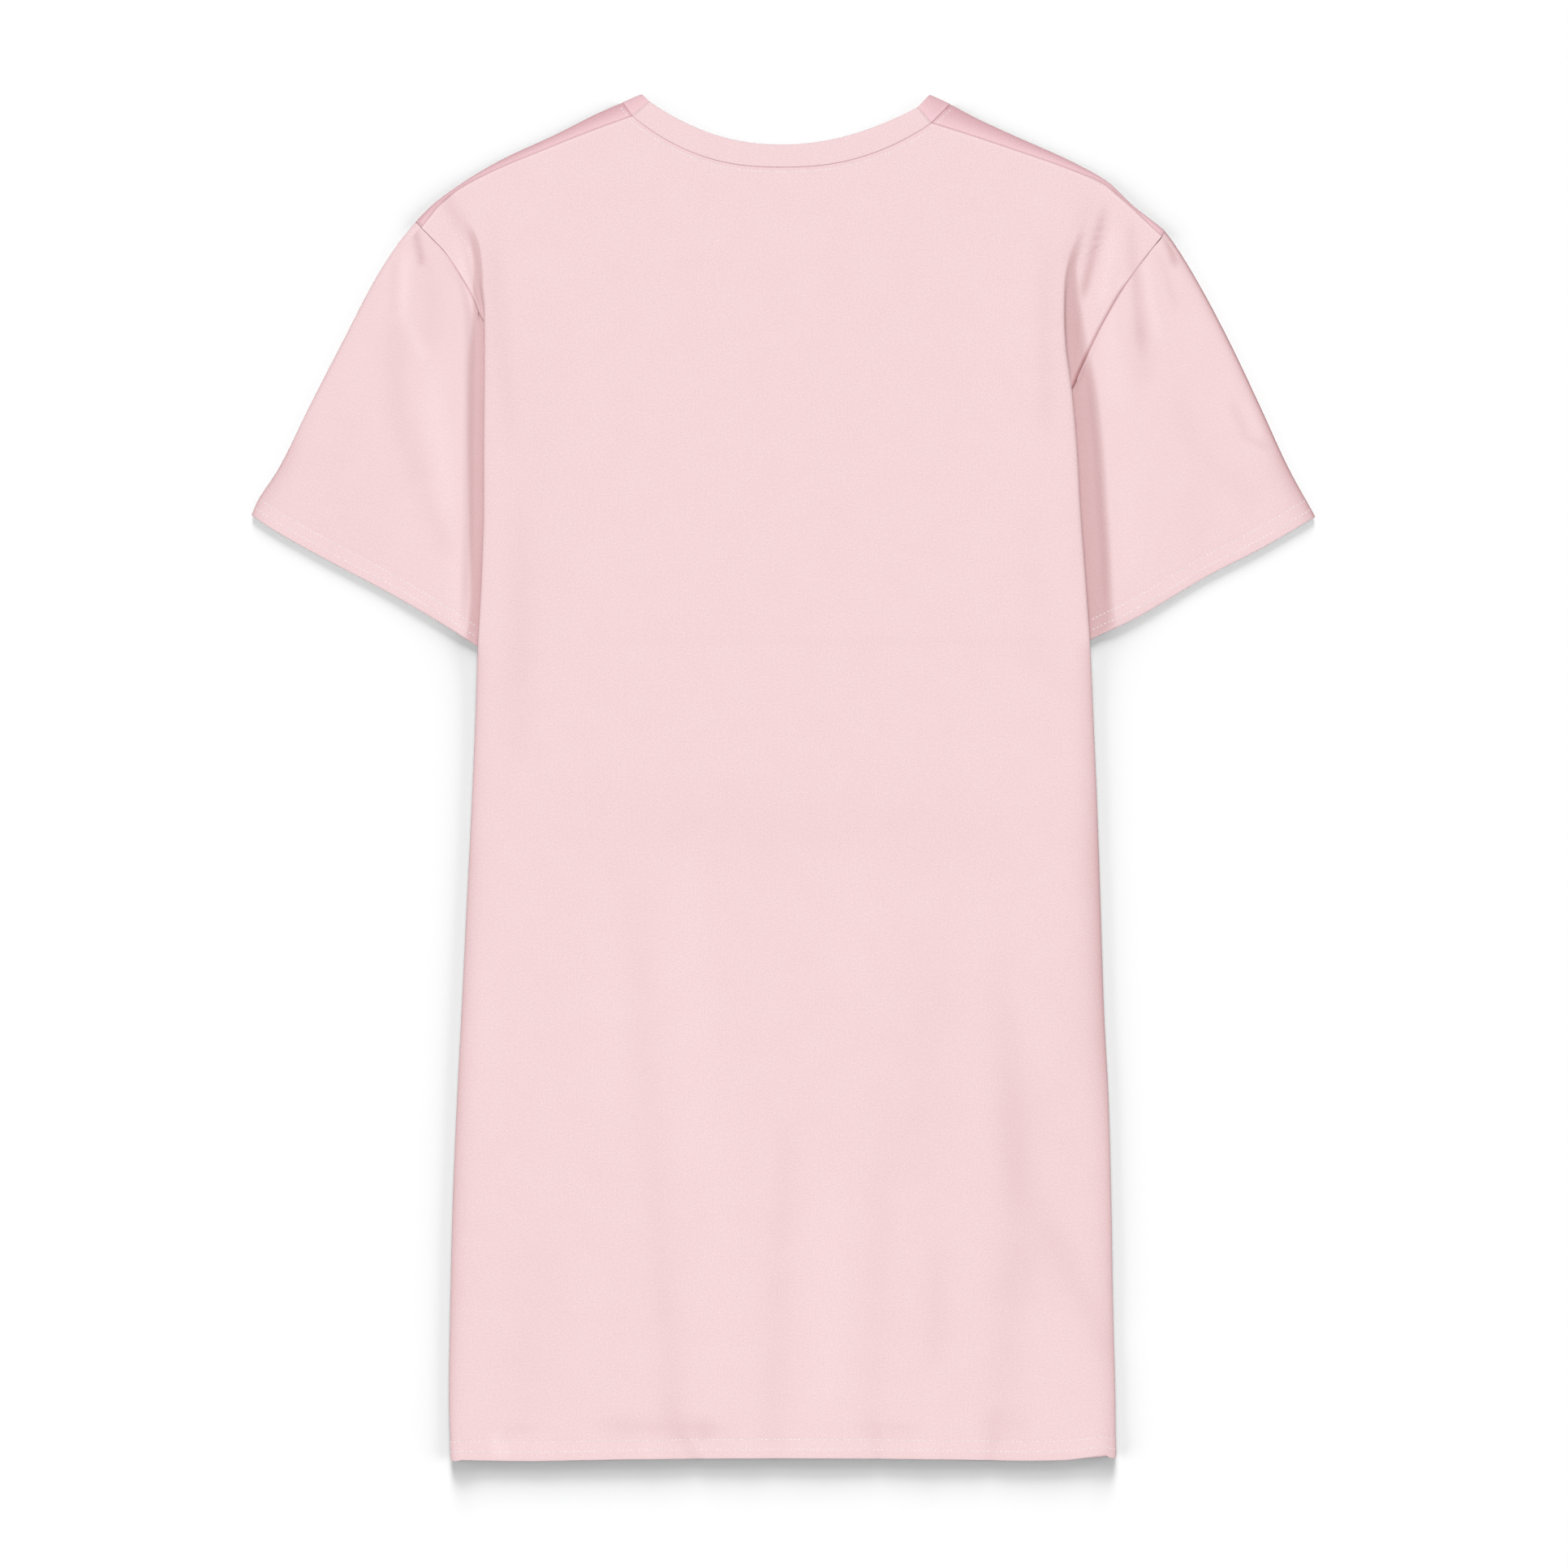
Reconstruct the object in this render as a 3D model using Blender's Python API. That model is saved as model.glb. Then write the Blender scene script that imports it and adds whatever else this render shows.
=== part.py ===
"""T-shirt dress lying flat with its back side up: six knitted pieces as thin closed walls.

+X runs across to the wearer's right, +Y to the neck, +Z up, and the cloth rests on z = 0.
Each piece is a sheet of points along the middle of its cloth, thickened by its wall. Sizes
are in millimetres, and build_cloth() scales them to metres.
"""
from collections import namedtuple
import math

import bmesh
import bpy
import numpy as np

MM = 0.001

# ---- cloth ----
WALL = 1.2                      # jersey
BAND_WALL = 1.8                 # doubled rib of the neck
HEM_WALL = 1.8                  # turned-up hems
HEM_TURN = 12.8                 # height of a turned-up hem
GAP = 0.3                       # between two pieces at a seam
LAYER = WALL + GAP              # pitch of cloths lying on each other
FLOOR = WALL / 2                # middle of the cloth that rests on the ground
SECOND = FLOOR + LAYER
THIRD = SECOND + LAYER

# ---- grids ----
ARMHOLE_ROWS = 14
NECK_COLUMNS = 10               # of the front neckline
BACK_NECK_COLUMNS = 12
BODY_ROWS = (-433.0, -420.5, -418.0, -393.0, -360.0, -326.0, -292.0, -258.0, -224.0, -188.0,
             -150.0, -110.0, -70.0, -30.0, 10.0, 36.0, 50.0, 58.0, 65.0, 72.0, 81.0, 95.0,
             113.0, 131.0, 147.0)

UNDERARM_Y = 161.1
HEM_Y = -433.0

# Silhouette of the sides and, above the cuffs, of the pleat that hides the armhole.
EDGE_COLUMNS = ("y", "left", "right")
EDGE = (
    (-433.0, -210.2, 210.5), (-391.0, -211.6, 210.2), (-330.0, -210.7, 208.7),
    (-268.0, -209.2, 207.7), (-206.0, -206.6, 206.1), (-145.0, -203.5, 203.0),
    (-83.0, -200.5, 201.0), (-21.0, -197.4, 198.9), (40.0, -194.8, 196.3),
    (82.0, -193.3, 194.3), (134.0, -190.7, 190.7), (169.0, -189.7, 188.1),
    (205.0, -189.7, 186.1), (246.0, -189.4, 182.5), (275.0, -189.2, 178.9),
    (292.0, -189.4, 178.4), (311.0, -191.7, 178.9), (327.0, -192.8, 181.4),
    (340.0, -195.0, 186.1), (350.0, -199.5, 189.5), (372.0, -209.5, 196.0),
)
# How far the side seam lies inside that silhouette.
TUCK_COLUMNS = ("y", "width")
TUCK = ((36.0, 1.0), (50.0, 1.6), (58.0, 4.5), (65.0, 9.5), (72.0, 12.5), (110.0, 13.8),
        (161.1, 16.3))
# Armhole seam from the underarm to the shoulder, in the same columns as the silhouette.
ARMHOLE = (
    (161.1, -173.4, 172.2), (174.5, -175.0, 173.6), (184.0, -176.1, 174.8),
    (205.0, -178.4, 177.3), (225.0, -180.5, 179.4), (239.0, -182.0, 180.6),
    (252.0, -183.4, 185.4), (266.0, -185.0, 191.6), (281.4, -186.6, 198.9),
    (294.7, -192.7, 206.1), (306.0, -197.5, 212.6), (321.0, -206.2, 223.0),
    (334.0, -215.0, 232.6), (342.6, -223.6, 239.5), (348.2, -229.0, 241.5),
)
# Middle height of the cloth along the silhouette, and in the ditch beside it where it is open.
CREST_COLUMNS = ("y", "crest", "ditch_left", "ditch_right")
CREST = (
    (-433.0, 5.1, 2.1, 2.1), (-418.0, 5.0, 2.1, 2.1), (-390.0, 4.7, 2.1, 2.1),
    (-300.0, 4.7, 2.1, 2.1), (-100.0, 4.7, 2.1, 2.1), (20.0, 5.1, 2.1, 2.1),
    (60.0, 6.2, 2.1, 2.1), (84.0, 7.3, 3.6, 3.6), (120.0, 7.9, 3.6, 3.6),
    (180.0, 8.1, 3.6, 3.6), (246.0, 8.1, 3.6, 3.6), (262.0, 8.1, 3.6, 3.0),
    (290.0, 7.6, 3.3, 2.3), (311.0, 6.9, 2.7, 2.3), (330.0, 5.8, 2.7, 2.6),
    (345.0, 4.7, 3.2, 3.4), (358.0, 4.1, 3.7, 3.9), (372.0, 4.0, 4.0, 4.0),
)
# Shoulder seam on the back side, and the fold above it that is the garment's outline: x, y.
SHOULDER_SEAM = {
    "left": ((-229.0, 348.2), (-218.5, 361.6), (-207.0, 371.4), (-183.0, 384.2),
             (-158.0, 394.7), (-115.7, 411.5), (-95.6, 418.7)),
    "right": ((93.8, 414.3), (120.8, 405.8), (150.0, 396.0), (177.8, 386.3),
              (203.5, 375.5), (221.0, 360.6), (239.5, 342.6)),
}
SHOULDER_FOLD = {
    "left": ((-232.8, 351.8), (-222.8, 362.0), (-206.6, 374.3), (-180.9, 389.9),
             (-143.9, 407.3), (-115.7, 421.4), (-101.8, 427.4)),
    "right": ((105.9, 426.4), (120.8, 418.3), (144.4, 407.3), (183.0, 389.9),
              (205.1, 377.5), (221.5, 362.1), (241.6, 346.1)),
}
SHOULDER_X = {"left": (-229.0, -218.5, -207.0, -185.0, -162.0, -139.0, -117.0, -95.6),
              "right": (93.8, 115.0, 137.0, 160.0, 183.0, 205.0, 221.0, 239.5)}
SHOULDER_TOP = 4.0              # middle height of the cloth along the shoulders

# Neck: seam of the back rib, its free edge, and the deeper front neckline as half ellipses.
NECK_SEAM = {"left": (-95.6, 418.7, 2.45), "right": (93.8, 414.3, 2.30), "low": 386.5}
NECK_EDGE = {"left": (-84.8, 427.9, 2.20), "right": (85.3, 424.3, 1.95), "low": 400.7}
FRONT_NECK = {"left": (-101.8, 427.4), "right": (105.9, 426.4), "low": 323.6}
FRONT_NECK_EDGE = {"left": (-89.7, 432.7), "right": (92.8, 432.4), "low": 337.5}
NECK_SAG = 1.9                  # how far the back neck sinks into the open front neck

# Sleeves: folded outer edge from shoulder to cuff, and the cuff's edge, each as x, y.
SLEEVE_FOLD = {
    "left": ((-232.8, 351.8), (-243.6, 338.5), (-257.0, 317.9), (-278.6, 276.8),
             (-299.7, 235.7), (-320.2, 194.6), (-333.2, 174.5), (-336.7, 166.3)),
    "right": ((241.6, 346.1), (247.2, 338.5), (260.1, 317.9), (282.2, 276.8),
              (301.7, 235.7), (320.7, 194.6), (331.8, 174.5), (337.0, 165.3)),
}
CUFF = {
    "left": ((-336.7, 166.3), (-324.3, 158.1), (-294.5, 141.1), (-247.2, 115.9),
             (-212.3, 95.3), (-193.8, 83.5), (-181.3, 75.8)),
    "right": ((337.0, 165.3), (303.3, 145.7), (268.3, 127.7), (221.0, 100.0),
              (194.8, 87.6), (182.3, 80.0)),
}
DITCH_ROW = {"left": 10, "right": 7}    # armhole row where the seam comes out of the pleat
SLEEVE_SWELL = 5.7                      # middle height of the sleeve beside the pleat
SLEEVE_LOW = 3.8                        # middle height near the folded edge
DITCH_FLOOR = {"left": 6.0, "right": 9.0}   # flat bottom of the ditch beside the pleat
DITCH_BANK = 6.0                        # width of its bank on the sleeve

# Hem line, then the soft folds of the back: start, end, half width and height.
HEM_LINE = ((-213.0, -431.8), (-168.6, -433.0), (-100.0, -431.9), (0.0, -431.3),
            (120.0, -432.0), (192.0, -431.8), (213.0, -429.6))
Fold = namedtuple("Fold", "name x0 y0 x1 y1 half_width height")
FOLDS = (
    ("left long trough", -88.0, -110.0, -70.0, -420.0, 11.0, -1.1),
    ("left long ridge", -70.0, -150.0, -44.0, -420.0, 16.0, 0.9),
    ("left outer ridge", -118.0, -190.0, -112.0, -420.0, 20.0, 0.8),
    ("middle trough", 2.0, -220.0, -4.0, -420.0, 10.0, -1.1),
    ("middle ridge", 26.0, -240.0, 22.0, -420.0, 13.0, 0.9),
    ("right inner trough", 58.0, -290.0, 48.0, -420.0, 10.0, -0.8),
    ("right inner ridge", 98.0, -160.0, 104.0, -420.0, 20.0, 0.8),
    ("right long trough", 137.0, -120.0, 146.0, -270.0, 13.0, -1.2),
    ("right branch to side", 146.0, -250.0, 205.0, -375.0, 12.0, -1.1),
    ("right branch to hem", 144.0, -290.0, 142.0, -420.0, 12.0, -0.9),
    ("right side ridge", 176.0, -150.0, 186.0, -280.0, 15.0, 0.8),
    ("left side valley", -167.0, 320.0, -163.0, -60.0, 10.0, -0.9),
    ("right side valley", 160.0, 300.0, 166.0, 60.0, 12.0, -0.7),
    ("left shoulder trough", -205.0, 360.0, -195.0, 336.0, 5.0, -0.7),
    ("right second trough", 201.0, 352.0, 192.0, 322.0, 4.5, -1.0),
    ("right flap trough", 219.5, 345.0, 218.0, 328.0, 5.0, -0.6),
)
SLEEVE_FOLDS = {
    "left": (("cap gather", -233.0, 338.0, -240.0, 290.0, 7.0, -0.9),
             ("long soft trough", -244.0, 280.0, -216.0, 150.0, 13.0, -1.0),
             ("outer swell", -285.0, 250.0, -285.0, 175.0, 22.0, 0.5)),
    "right": (("cap gather", 246.0, 336.0, 254.0, 308.0, 6.0, -0.7),
              ("second gather", 236.0, 324.0, 246.0, 296.0, 5.5, -0.9),
              ("third gather", 226.0, 314.0, 238.0, 260.0, 6.5, -1.0),
              ("elbow crease", 306.0, 232.0, 292.0, 196.0, 7.0, -0.8),
              ("long soft trough", 244.0, 250.0, 262.0, 170.0, 14.0, -0.8)),
}

# ---- colours ----
PALE_PINK = (0.89, 0.66, 0.68, 1.0)
DEEP_PINK = (0.85, 0.54, 0.59, 1.0)
ROUGHNESS = 0.85


def smooth(low, high, value):
    """0 below low, 1 above high and a soft step between."""
    t = min(max((value - low) / (high - low), 0.0), 1.0)
    return t * t * (3.0 - 2.0 * t)


def mix(a, b, t):
    return a + (b - a) * t


def slopes(xs, ys):
    """Monotone cubic slopes, so that a curve through a table never overshoots its rows."""
    steps = np.diff(xs)
    rates = np.diff(ys) / steps
    result = np.zeros(len(xs))
    result[0] = rates[0]
    result[-1] = rates[-1]
    for i in range(1, len(xs) - 1):
        if rates[i - 1] * rates[i] > 0.0:
            near = 2.0 * steps[i] + steps[i - 1]
            far = steps[i] + 2.0 * steps[i - 1]
            result[i] = (near + far) / (near / rates[i - 1] + far / rates[i])
    return result


def curve(table, value, column=1, key=0):
    """Value of a table's column where its key column has the given value."""
    xs = np.array([row[key] for row in table])
    ys = np.array([row[column] for row in table])
    if xs[0] > xs[-1]:
        xs = xs[::-1]
        ys = ys[::-1]
    value = min(max(value, xs[0]), xs[-1])
    i = min(int(np.searchsorted(xs, value, side="right")) - 1, len(xs) - 2)
    step = xs[i + 1] - xs[i]
    t = (value - xs[i]) / step
    m = slopes(xs, ys) * step
    return ((2 * t**3 - 3 * t**2 + 1) * ys[i] + (t**3 - 2 * t**2 + t) * m[i]
            + (3 * t**2 - 2 * t**3) * ys[i + 1] + (t**3 - t**2) * m[i + 1])


def outward(side):
    return -1.0 if side == "left" else 1.0


def fold_height(x, y, folds):
    """Sum of the soft ridges and troughs at a point; each fades out at both ends."""
    total = 0.0
    for fold in (Fold(*row) for row in folds):
        length = math.hypot(fold.x1 - fold.x0, fold.y1 - fold.y0)
        ux, uy = (fold.x1 - fold.x0) / length, (fold.y1 - fold.y0) / length
        along = (x - fold.x0) * ux + (y - fold.y0) * uy
        across = (x - fold.x0) * uy - (y - fold.y0) * ux
        ends = smooth(-0.12 * length, 0.3 * length, along)
        ends *= 1.0 - smooth(0.85 * length, 1.12 * length, along)
        total += fold.height * ends * math.exp(-(across / fold.half_width) ** 2)
    return total


# ---- seams and edges ----
def edge_x(side, y):
    return curve(EDGE, y, EDGE_COLUMNS.index(side))


def armhole_top(side):
    seam = SHOULDER_SEAM[side]
    return seam[0][1] if side == "left" else seam[-1][1]


def armhole_y(side, row):
    """Height of an armhole row, from the underarm (0) to the shoulder seam (ARMHOLE_ROWS)."""
    return mix(UNDERARM_Y, armhole_top(side), row / ARMHOLE_ROWS)


def seam_x(side, y):
    """Sewn edge of the front panel: side seam up to the underarm, then the armhole."""
    if y < UNDERARM_Y:
        return edge_x(side, y) - outward(side) * curve(TUCK, y, TUCK_COLUMNS.index("width"))
    if y >= armhole_top(side) - 0.001:
        return SHOULDER_X[side][0 if side == "left" else -1]
    return curve(ARMHOLE, y, EDGE_COLUMNS.index(side))


def neck_curve(shape, x):
    """Back neckline: a power curve on each side of its lowest point."""
    tip_x, tip_y, power = shape["left" if x < 0.0 else "right"]
    return shape["low"] + (tip_y - shape["low"]) * abs(x / tip_x) ** power


def front_neck(shape, t):
    """Front neckline at t from 0 (left tip) to 1 (right tip): half an ellipse."""
    side = "left" if t < 0.5 else "right"
    tip_x, tip_y = shape[side]
    angle = math.pi * t
    return (abs(tip_x) * -math.cos(angle), mix(tip_y, shape["low"], math.sin(angle)))


# ---- heights ----
def back_height(x, y):
    """Middle height of the back panel away from its rolled edges."""
    left, right = edge_x("left", y), edge_x("right", y)
    inside = min(x - left, right - x)
    crest = curve(CREST, y, CREST_COLUMNS.index("crest"))
    pleat = smooth(46.0, 90.0, y) * (1.0 - smooth(290.0, 345.0, y))
    shelf = smooth(mix(4.0, 9.0, pleat), mix(24.0, 62.0, pleat), inside)
    height = mix(crest, 3.9, shelf)
    height += fold_height(x, y, FOLDS)
    reach = math.hypot(x / 62.0, (y - 405.0) / 82.0)
    height -= NECK_SAG * (1.0 - smooth(0.45, 1.15, reach)) * smooth(300.0, 345.0, y)
    hem = (1.0 - smooth(HEM_Y + 10.0, HEM_Y + 30.0, y)) * smooth(8.0, 25.0, inside)
    height = mix(height, 3.55, 0.65 * hem)
    shoulder = smooth(330.0, 400.0, y + 0.28 * abs(x))
    return max(mix(height, min(height, SHOULDER_TOP), shoulder), SECOND + 0.35)


def ellipse_steps(outer, inner, low, high, angles):
    """Points of a quarter ellipse from (inner, high) round to (outer, low)."""
    return [(inner - (inner - outer) * math.sin(math.radians(a)),
             low + (high - low) * math.cos(math.radians(a))) for a in angles]


ROLL = 3.4                      # how far inside the silhouette the body starts to round off
TURN = 2.6                      # where the cloth that turned under lies flat again
END_LAP = 3.4                   # how far the back's side seam laps over the front's


def edge_section(side, y, wall=WALL):
    """Rolled edge of the back at a row: (distance inside the silhouette, middle height).

    The eight points run from the seam round the fold to the start of the flat cloth. Where
    the seam is inside the silhouette the cloth turns under, and where it is outside the
    cloth dips into the ditch and comes up again as a flap.
    """
    edge = edge_x(side, y)
    seam = (edge - seam_x(side, y)) * outward(side)
    top = back_height(edge - outward(side) * ROLL, y)
    skin = wall / 2
    near = 1.0 - smooth(2.5, 7.0, abs(seam))
    if y < 52.0:
        under = wall + GAP + 0.1
        middle = mix(under, top, 0.4)
        tail = [(skin + 0.3, under), (skin + 0.1, mix(under, middle, 0.3)),
                (skin, mix(under, middle, 0.6))]
        corner = (skin, mix(under, middle, 0.8))
    elif seam > 0.0:
        under = mix(SECOND, THIRD, smooth(52.0, 74.0, y))
        if y < UNDERARM_Y + 16.0:
            last, bend = seam + END_LAP, seam + 0.8
            last_z = SECOND if y < UNDERARM_Y + 4.0 else THIRD
        else:
            last, last_z, bend = seam, THIRD, max(seam - 3.2, 0.75 * seam)
        turn = mix(min(TURN, 0.5 * bend), 0.95, near)
        middle = (top + under) / 2
        tail = [(mix(last, 1.7, near), last_z), (mix(bend, 1.35, near), under + 0.5 * near),
                (turn, under + near)]
        corner = (mix(skin, turn, 0.29), mix(middle, under + near, 0.71))
    else:
        ditch = curve(CREST, y, CREST_COLUMNS.index(f"ditch_{side}"))
        turn = -min(3.0, mix(0.45, 0.2, near) * -seam)
        rise = smooth(0.0, 26.0, -seam) * (1.0 - smooth(328.0, 349.0, y))
        last_z = mix(THIRD, SHOULDER_TOP, smooth(2.0, 24.0, -seam)) + 0.7 * rise
        middle = (top + ditch) / 2
        tail = [(seam, last_z),
                (mix(turn, seam, 0.45), mix(ditch, last_z, 0.72) + 0.5 * rise + 0.4 * near),
                (turn, ditch + 0.8 * near)]
        corner = (mix(skin, turn, 0.29), mix(middle, ditch + 0.8 * near, 0.71))
    roll = ellipse_steps(skin, ROLL, middle, top, (90.0, 60.0, 30.0, 0.0))
    return tail + [corner] + roll


# ---- building ----
def unit(vector):
    return vector / max(np.linalg.norm(vector), 1e-9)


def grid_normals(grid, flat, sign=1.0):
    """Normals of a grid of middle points by central differences, straight down where flat."""
    rows, columns = grid.shape[:2]
    normals = np.zeros_like(grid)
    for i in range(rows):
        for j in range(columns):
            if flat[i][j]:
                normals[i, j] = (0.0, 0.0, -1.0)
                continue
            along = grid[min(i + 1, rows - 1), j] - grid[max(i - 1, 0), j]
            across = grid[i, min(j + 1, columns - 1)] - grid[i, max(j - 1, 0)]
            normals[i, j] = unit(np.cross(across, along)) * sign
    return normals


def thick_faces(quads, count):
    """Faces of a closed wall from the quads of a sheet: both skins and the rim between them."""
    faces = [tuple(quad) for quad in quads]
    faces += [tuple(corner + count for corner in reversed(quad)) for quad in quads]
    edges = {pair: None for quad in quads for pair in zip(quad, quad[1:] + quad[:1])}
    faces += [(b, a, a + count, b + count) for a, b in edges if (b, a) not in edges]
    return faces


def build_cloth(name, outer, inner, quads, material):
    """Closed solid of one piece, from matching points on both of its skins."""
    points = [tuple(MM * c for c in point) for point in list(outer) + list(inner)]
    mesh = bpy.data.meshes.new(name)
    mesh.from_pydata(points, [], thick_faces(quads, len(outer)))
    shape = bmesh.new()
    shape.from_mesh(mesh)
    loose = [vertex for vertex in shape.verts if not vertex.link_faces]
    bmesh.ops.delete(shape, geom=loose, context="VERTS")
    bmesh.ops.recalc_face_normals(shape, faces=shape.faces)
    shape.to_mesh(mesh)
    shape.free()
    mesh.shade_smooth()
    mesh.set_sharp_from_angle(angle=math.radians(55.0))
    mesh.materials.append(material)
    piece = bpy.data.objects.new(name, mesh)
    bpy.context.scene.collection.objects.link(piece)
    return piece


def grid_quads(rows, columns, keep=None, ring=False):
    """Quads of a grid numbered row by row; keep drops cells and ring joins last to first."""
    quads = []
    for i in range(rows - 1):
        for j in range(columns if ring else columns - 1):
            if keep is None or keep(i, j):
                k = (j + 1) % columns
                quads.append([i * columns + j, i * columns + k,
                              (i + 1) * columns + k, (i + 1) * columns + j])
    return quads


def skins(grid, normals, walls):
    half = np.array(walls)[..., None] / 2
    outer = (grid + normals * half).reshape(-1, 3)
    inner = (grid - normals * half).reshape(-1, 3)
    return outer, inner


def wall_at(distance):
    """Wall at a distance from a hem's edge: doubled where it is turned up."""
    return HEM_WALL if distance < HEM_TURN else WALL


# ---- back ----
def shoulder_point(side, x):
    return np.array((x, curve(SHOULDER_SEAM[side], x)))


def neck_xs():
    low, high = NECK_SEAM["left"][0], NECK_SEAM["right"][0]
    count = BACK_NECK_COLUMNS
    return [mix(low, high, k / count) for k in range(count + 1)]


def back_top():
    """Top edge of the back between its rolled edges: shoulder seam, neckline, shoulder seam."""
    left = [shoulder_point("left", x) for x in SHOULDER_X["left"][2:-1]]
    right = [shoulder_point("right", x) for x in SHOULDER_X["right"][1:-2]]
    return left + [np.array((x, neck_curve(NECK_SEAM, x))) for x in neck_xs()] + right


def shoulder_edge(side):
    """The eight points of the rolled edge in the top row, along the shoulder seam."""
    xs = SHOULDER_X[side][:3] if side == "left" else SHOULDER_X[side][:-4:-1]
    start, middle, end = [shoulder_point(side, x) for x in xs]
    first = [mix(start, middle, t) for t in (0.0, 1 / 3, 2 / 3, 1.0)]
    second = [mix(middle, end, t) for t in (0.25, 0.5, 0.75, 1.0)]
    return first + second


def top_height(x):
    """Middle height of the back's top edge: level shoulder seams and a sagging neckline."""
    low = back_height(x, neck_curve(NECK_SEAM, x)) if abs(x) < 93.0 else SHOULDER_TOP
    return mix(low, SHOULDER_TOP, smooth(55.0, 93.0, abs(x)))


def row_points(left, right, share, top, tip):
    """Flat points between the ends of a row: even low down, and as the top edge is higher up.

    The columns of the two neck tips, tip places from either end, keep their own courses.
    """
    count = len(top) - 1
    ease = smooth(0.0, 0.75, share)
    tips = (tip, count - tip)
    tip_x = [mix(mix(left[0], right[0], k / count), top[k][0], ease) for k in tips]
    spans = ((0, tips[0], left[0], tip_x[0]), (tips[0], tips[1], *tip_x),
             (tips[1], count, tip_x[1], right[0]))
    points = []
    for first, last, low, high in spans:
        for k in range(first, last + 1):
            along = (top[k][0] - top[first][0]) / (top[last][0] - top[first][0])
            part = mix((k - first) / (last - first), along, ease)
            y = mix(UNDERARM_Y, top[k][1], share) if share > 0.0 else left[1]
            if 0 < k < count and (k != first or k == tips[0]):
                points.append((mix(low, high, part), y))
    return points[:tips[0]] + points[tips[0] + 1:]


def hem_shift(x, y):
    """How far a point near the hem is moved to follow the hem's own line."""
    return (curve(HEM_LINE, x) - HEM_Y) * (1.0 - smooth(HEM_Y, HEM_Y + 70.0, y))


def back_row(share, y_left, y_right):
    ends = {}
    for side, y in (("left", y_left), ("right", y_right)):
        edge, sign = edge_x(side, y), outward(side)
        ends[side] = [(edge - sign * q, y + hem_shift(edge, y), z)
                      for q, z in edge_section(side, y, wall_at(y - HEM_Y))]
    flat = row_points(ends["left"][-1], ends["right"][-1], share, back_top(),
                      len(SHOULDER_X["left"]) - 3)
    flat = [(x, y + hem_shift(x, y)) for x, y in flat]
    middle = [(x, y, back_height(x, y)) for x, y in flat]
    return ends["left"] + middle + ends["right"][::-1]


def back_top_row():
    """The last row lies along the seams, a gap short of the shoulder strips and the rib."""
    ends = {side: shoulder_edge(side) for side in ("left", "right")}
    line = ends["left"] + back_top()[1:-1] + ends["right"][::-1]
    row = []
    for x, y in line:
        height = top_height(x) if NECK_SEAM["left"][0] < x < NECK_SEAM["right"][0] else SHOULDER_TOP
        row.append((x - 0.4 * GAP * math.copysign(1.0, x), y - GAP, height))
    return row


def build_back(material):
    rows = [back_row(0.0, y, y) for y in BODY_ROWS]
    for step in range(ARMHOLE_ROWS):
        rows.append(back_row(step / ARMHOLE_ROWS, armhole_y("left", step),
                             armhole_y("right", step)))
    rows.append(back_top_row())
    grid = np.array(rows)
    walls = [[wall_at(row[0][1] - HEM_Y)] * grid.shape[1] for row in rows]
    normals = grid_normals(grid, np.zeros(grid.shape[:2], dtype=bool))
    outer, inner = skins(grid, normals, walls)
    return build_cloth("back", outer, inner, grid_quads(*grid.shape[:2]), material)


# ---- shoulder fold, shared by the front, the sleeves and the rib ----
BOTTOM_TURN = 1.9               # how far inside the outline the lower cloth starts to turn up


def bottom_turn(wall):
    return BOTTOM_TURN + wall - WALL


def roll_steps(width, bottom, top, wall):
    """Middle points of a folded edge: (distance inside the outline, height), going up."""
    skin = wall / 2
    flat = 0.85 * width
    middle = (bottom + top) / 2
    angle = math.radians(45.0)
    low_reach, high_reach = bottom_turn(wall) - skin, flat - skin
    return [(bottom_turn(wall) - low_reach * math.sin(angle),
             middle - (middle - bottom) * math.cos(angle)),
            (skin, middle),
            (flat - high_reach * math.sin(angle), middle + (top - middle) * math.cos(angle)),
            (flat, top)]


def shoulder_pair(side, k):
    """Point k of a shoulder's seam, after the point of the fold that lies straight above it."""
    xs = SHOULDER_X[side]
    seam = shoulder_point(side, xs[k])
    fold = SHOULDER_FOLD[side]
    if k in (0, len(xs) - 1, -1):
        return np.array(fold[0 if k == 0 else -1]), seam
    ahead = shoulder_point(side, xs[k] + 2.0) - shoulder_point(side, xs[k] - 2.0)
    up = unit(np.array((-ahead[1], ahead[0])))
    width = 0.0
    for _ in range(6):
        point = seam + up * width
        width += (curve(fold, point[0]) - point[1]) * up[1]
    return seam + up * width, seam


def fold_column(outline, seam, floor, wall, top):
    """One column over a folded edge: from the lower cloth round to the seam on the upper side."""
    across = unit(seam - outline)
    width = np.linalg.norm(seam - outline)
    steps = [(bottom_turn(wall), floor)] + roll_steps(width, floor, top, wall) + [(width, top)]
    return [np.array((*(outline + across * q), z)) for q, z in steps]


# ---- front ----
def front_rows():
    return [y for y in BODY_ROWS if y < -410.0 or 30.0 < y < 80.0] + [-330.0, -240.0, -150.0,
                                                                      -70.0, 0.0, 110.0]


def front_edge_x(side, y):
    return edge_x(side, y) - outward(side) * 1.0 if y < 36.0 else seam_x(side, y)


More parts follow.
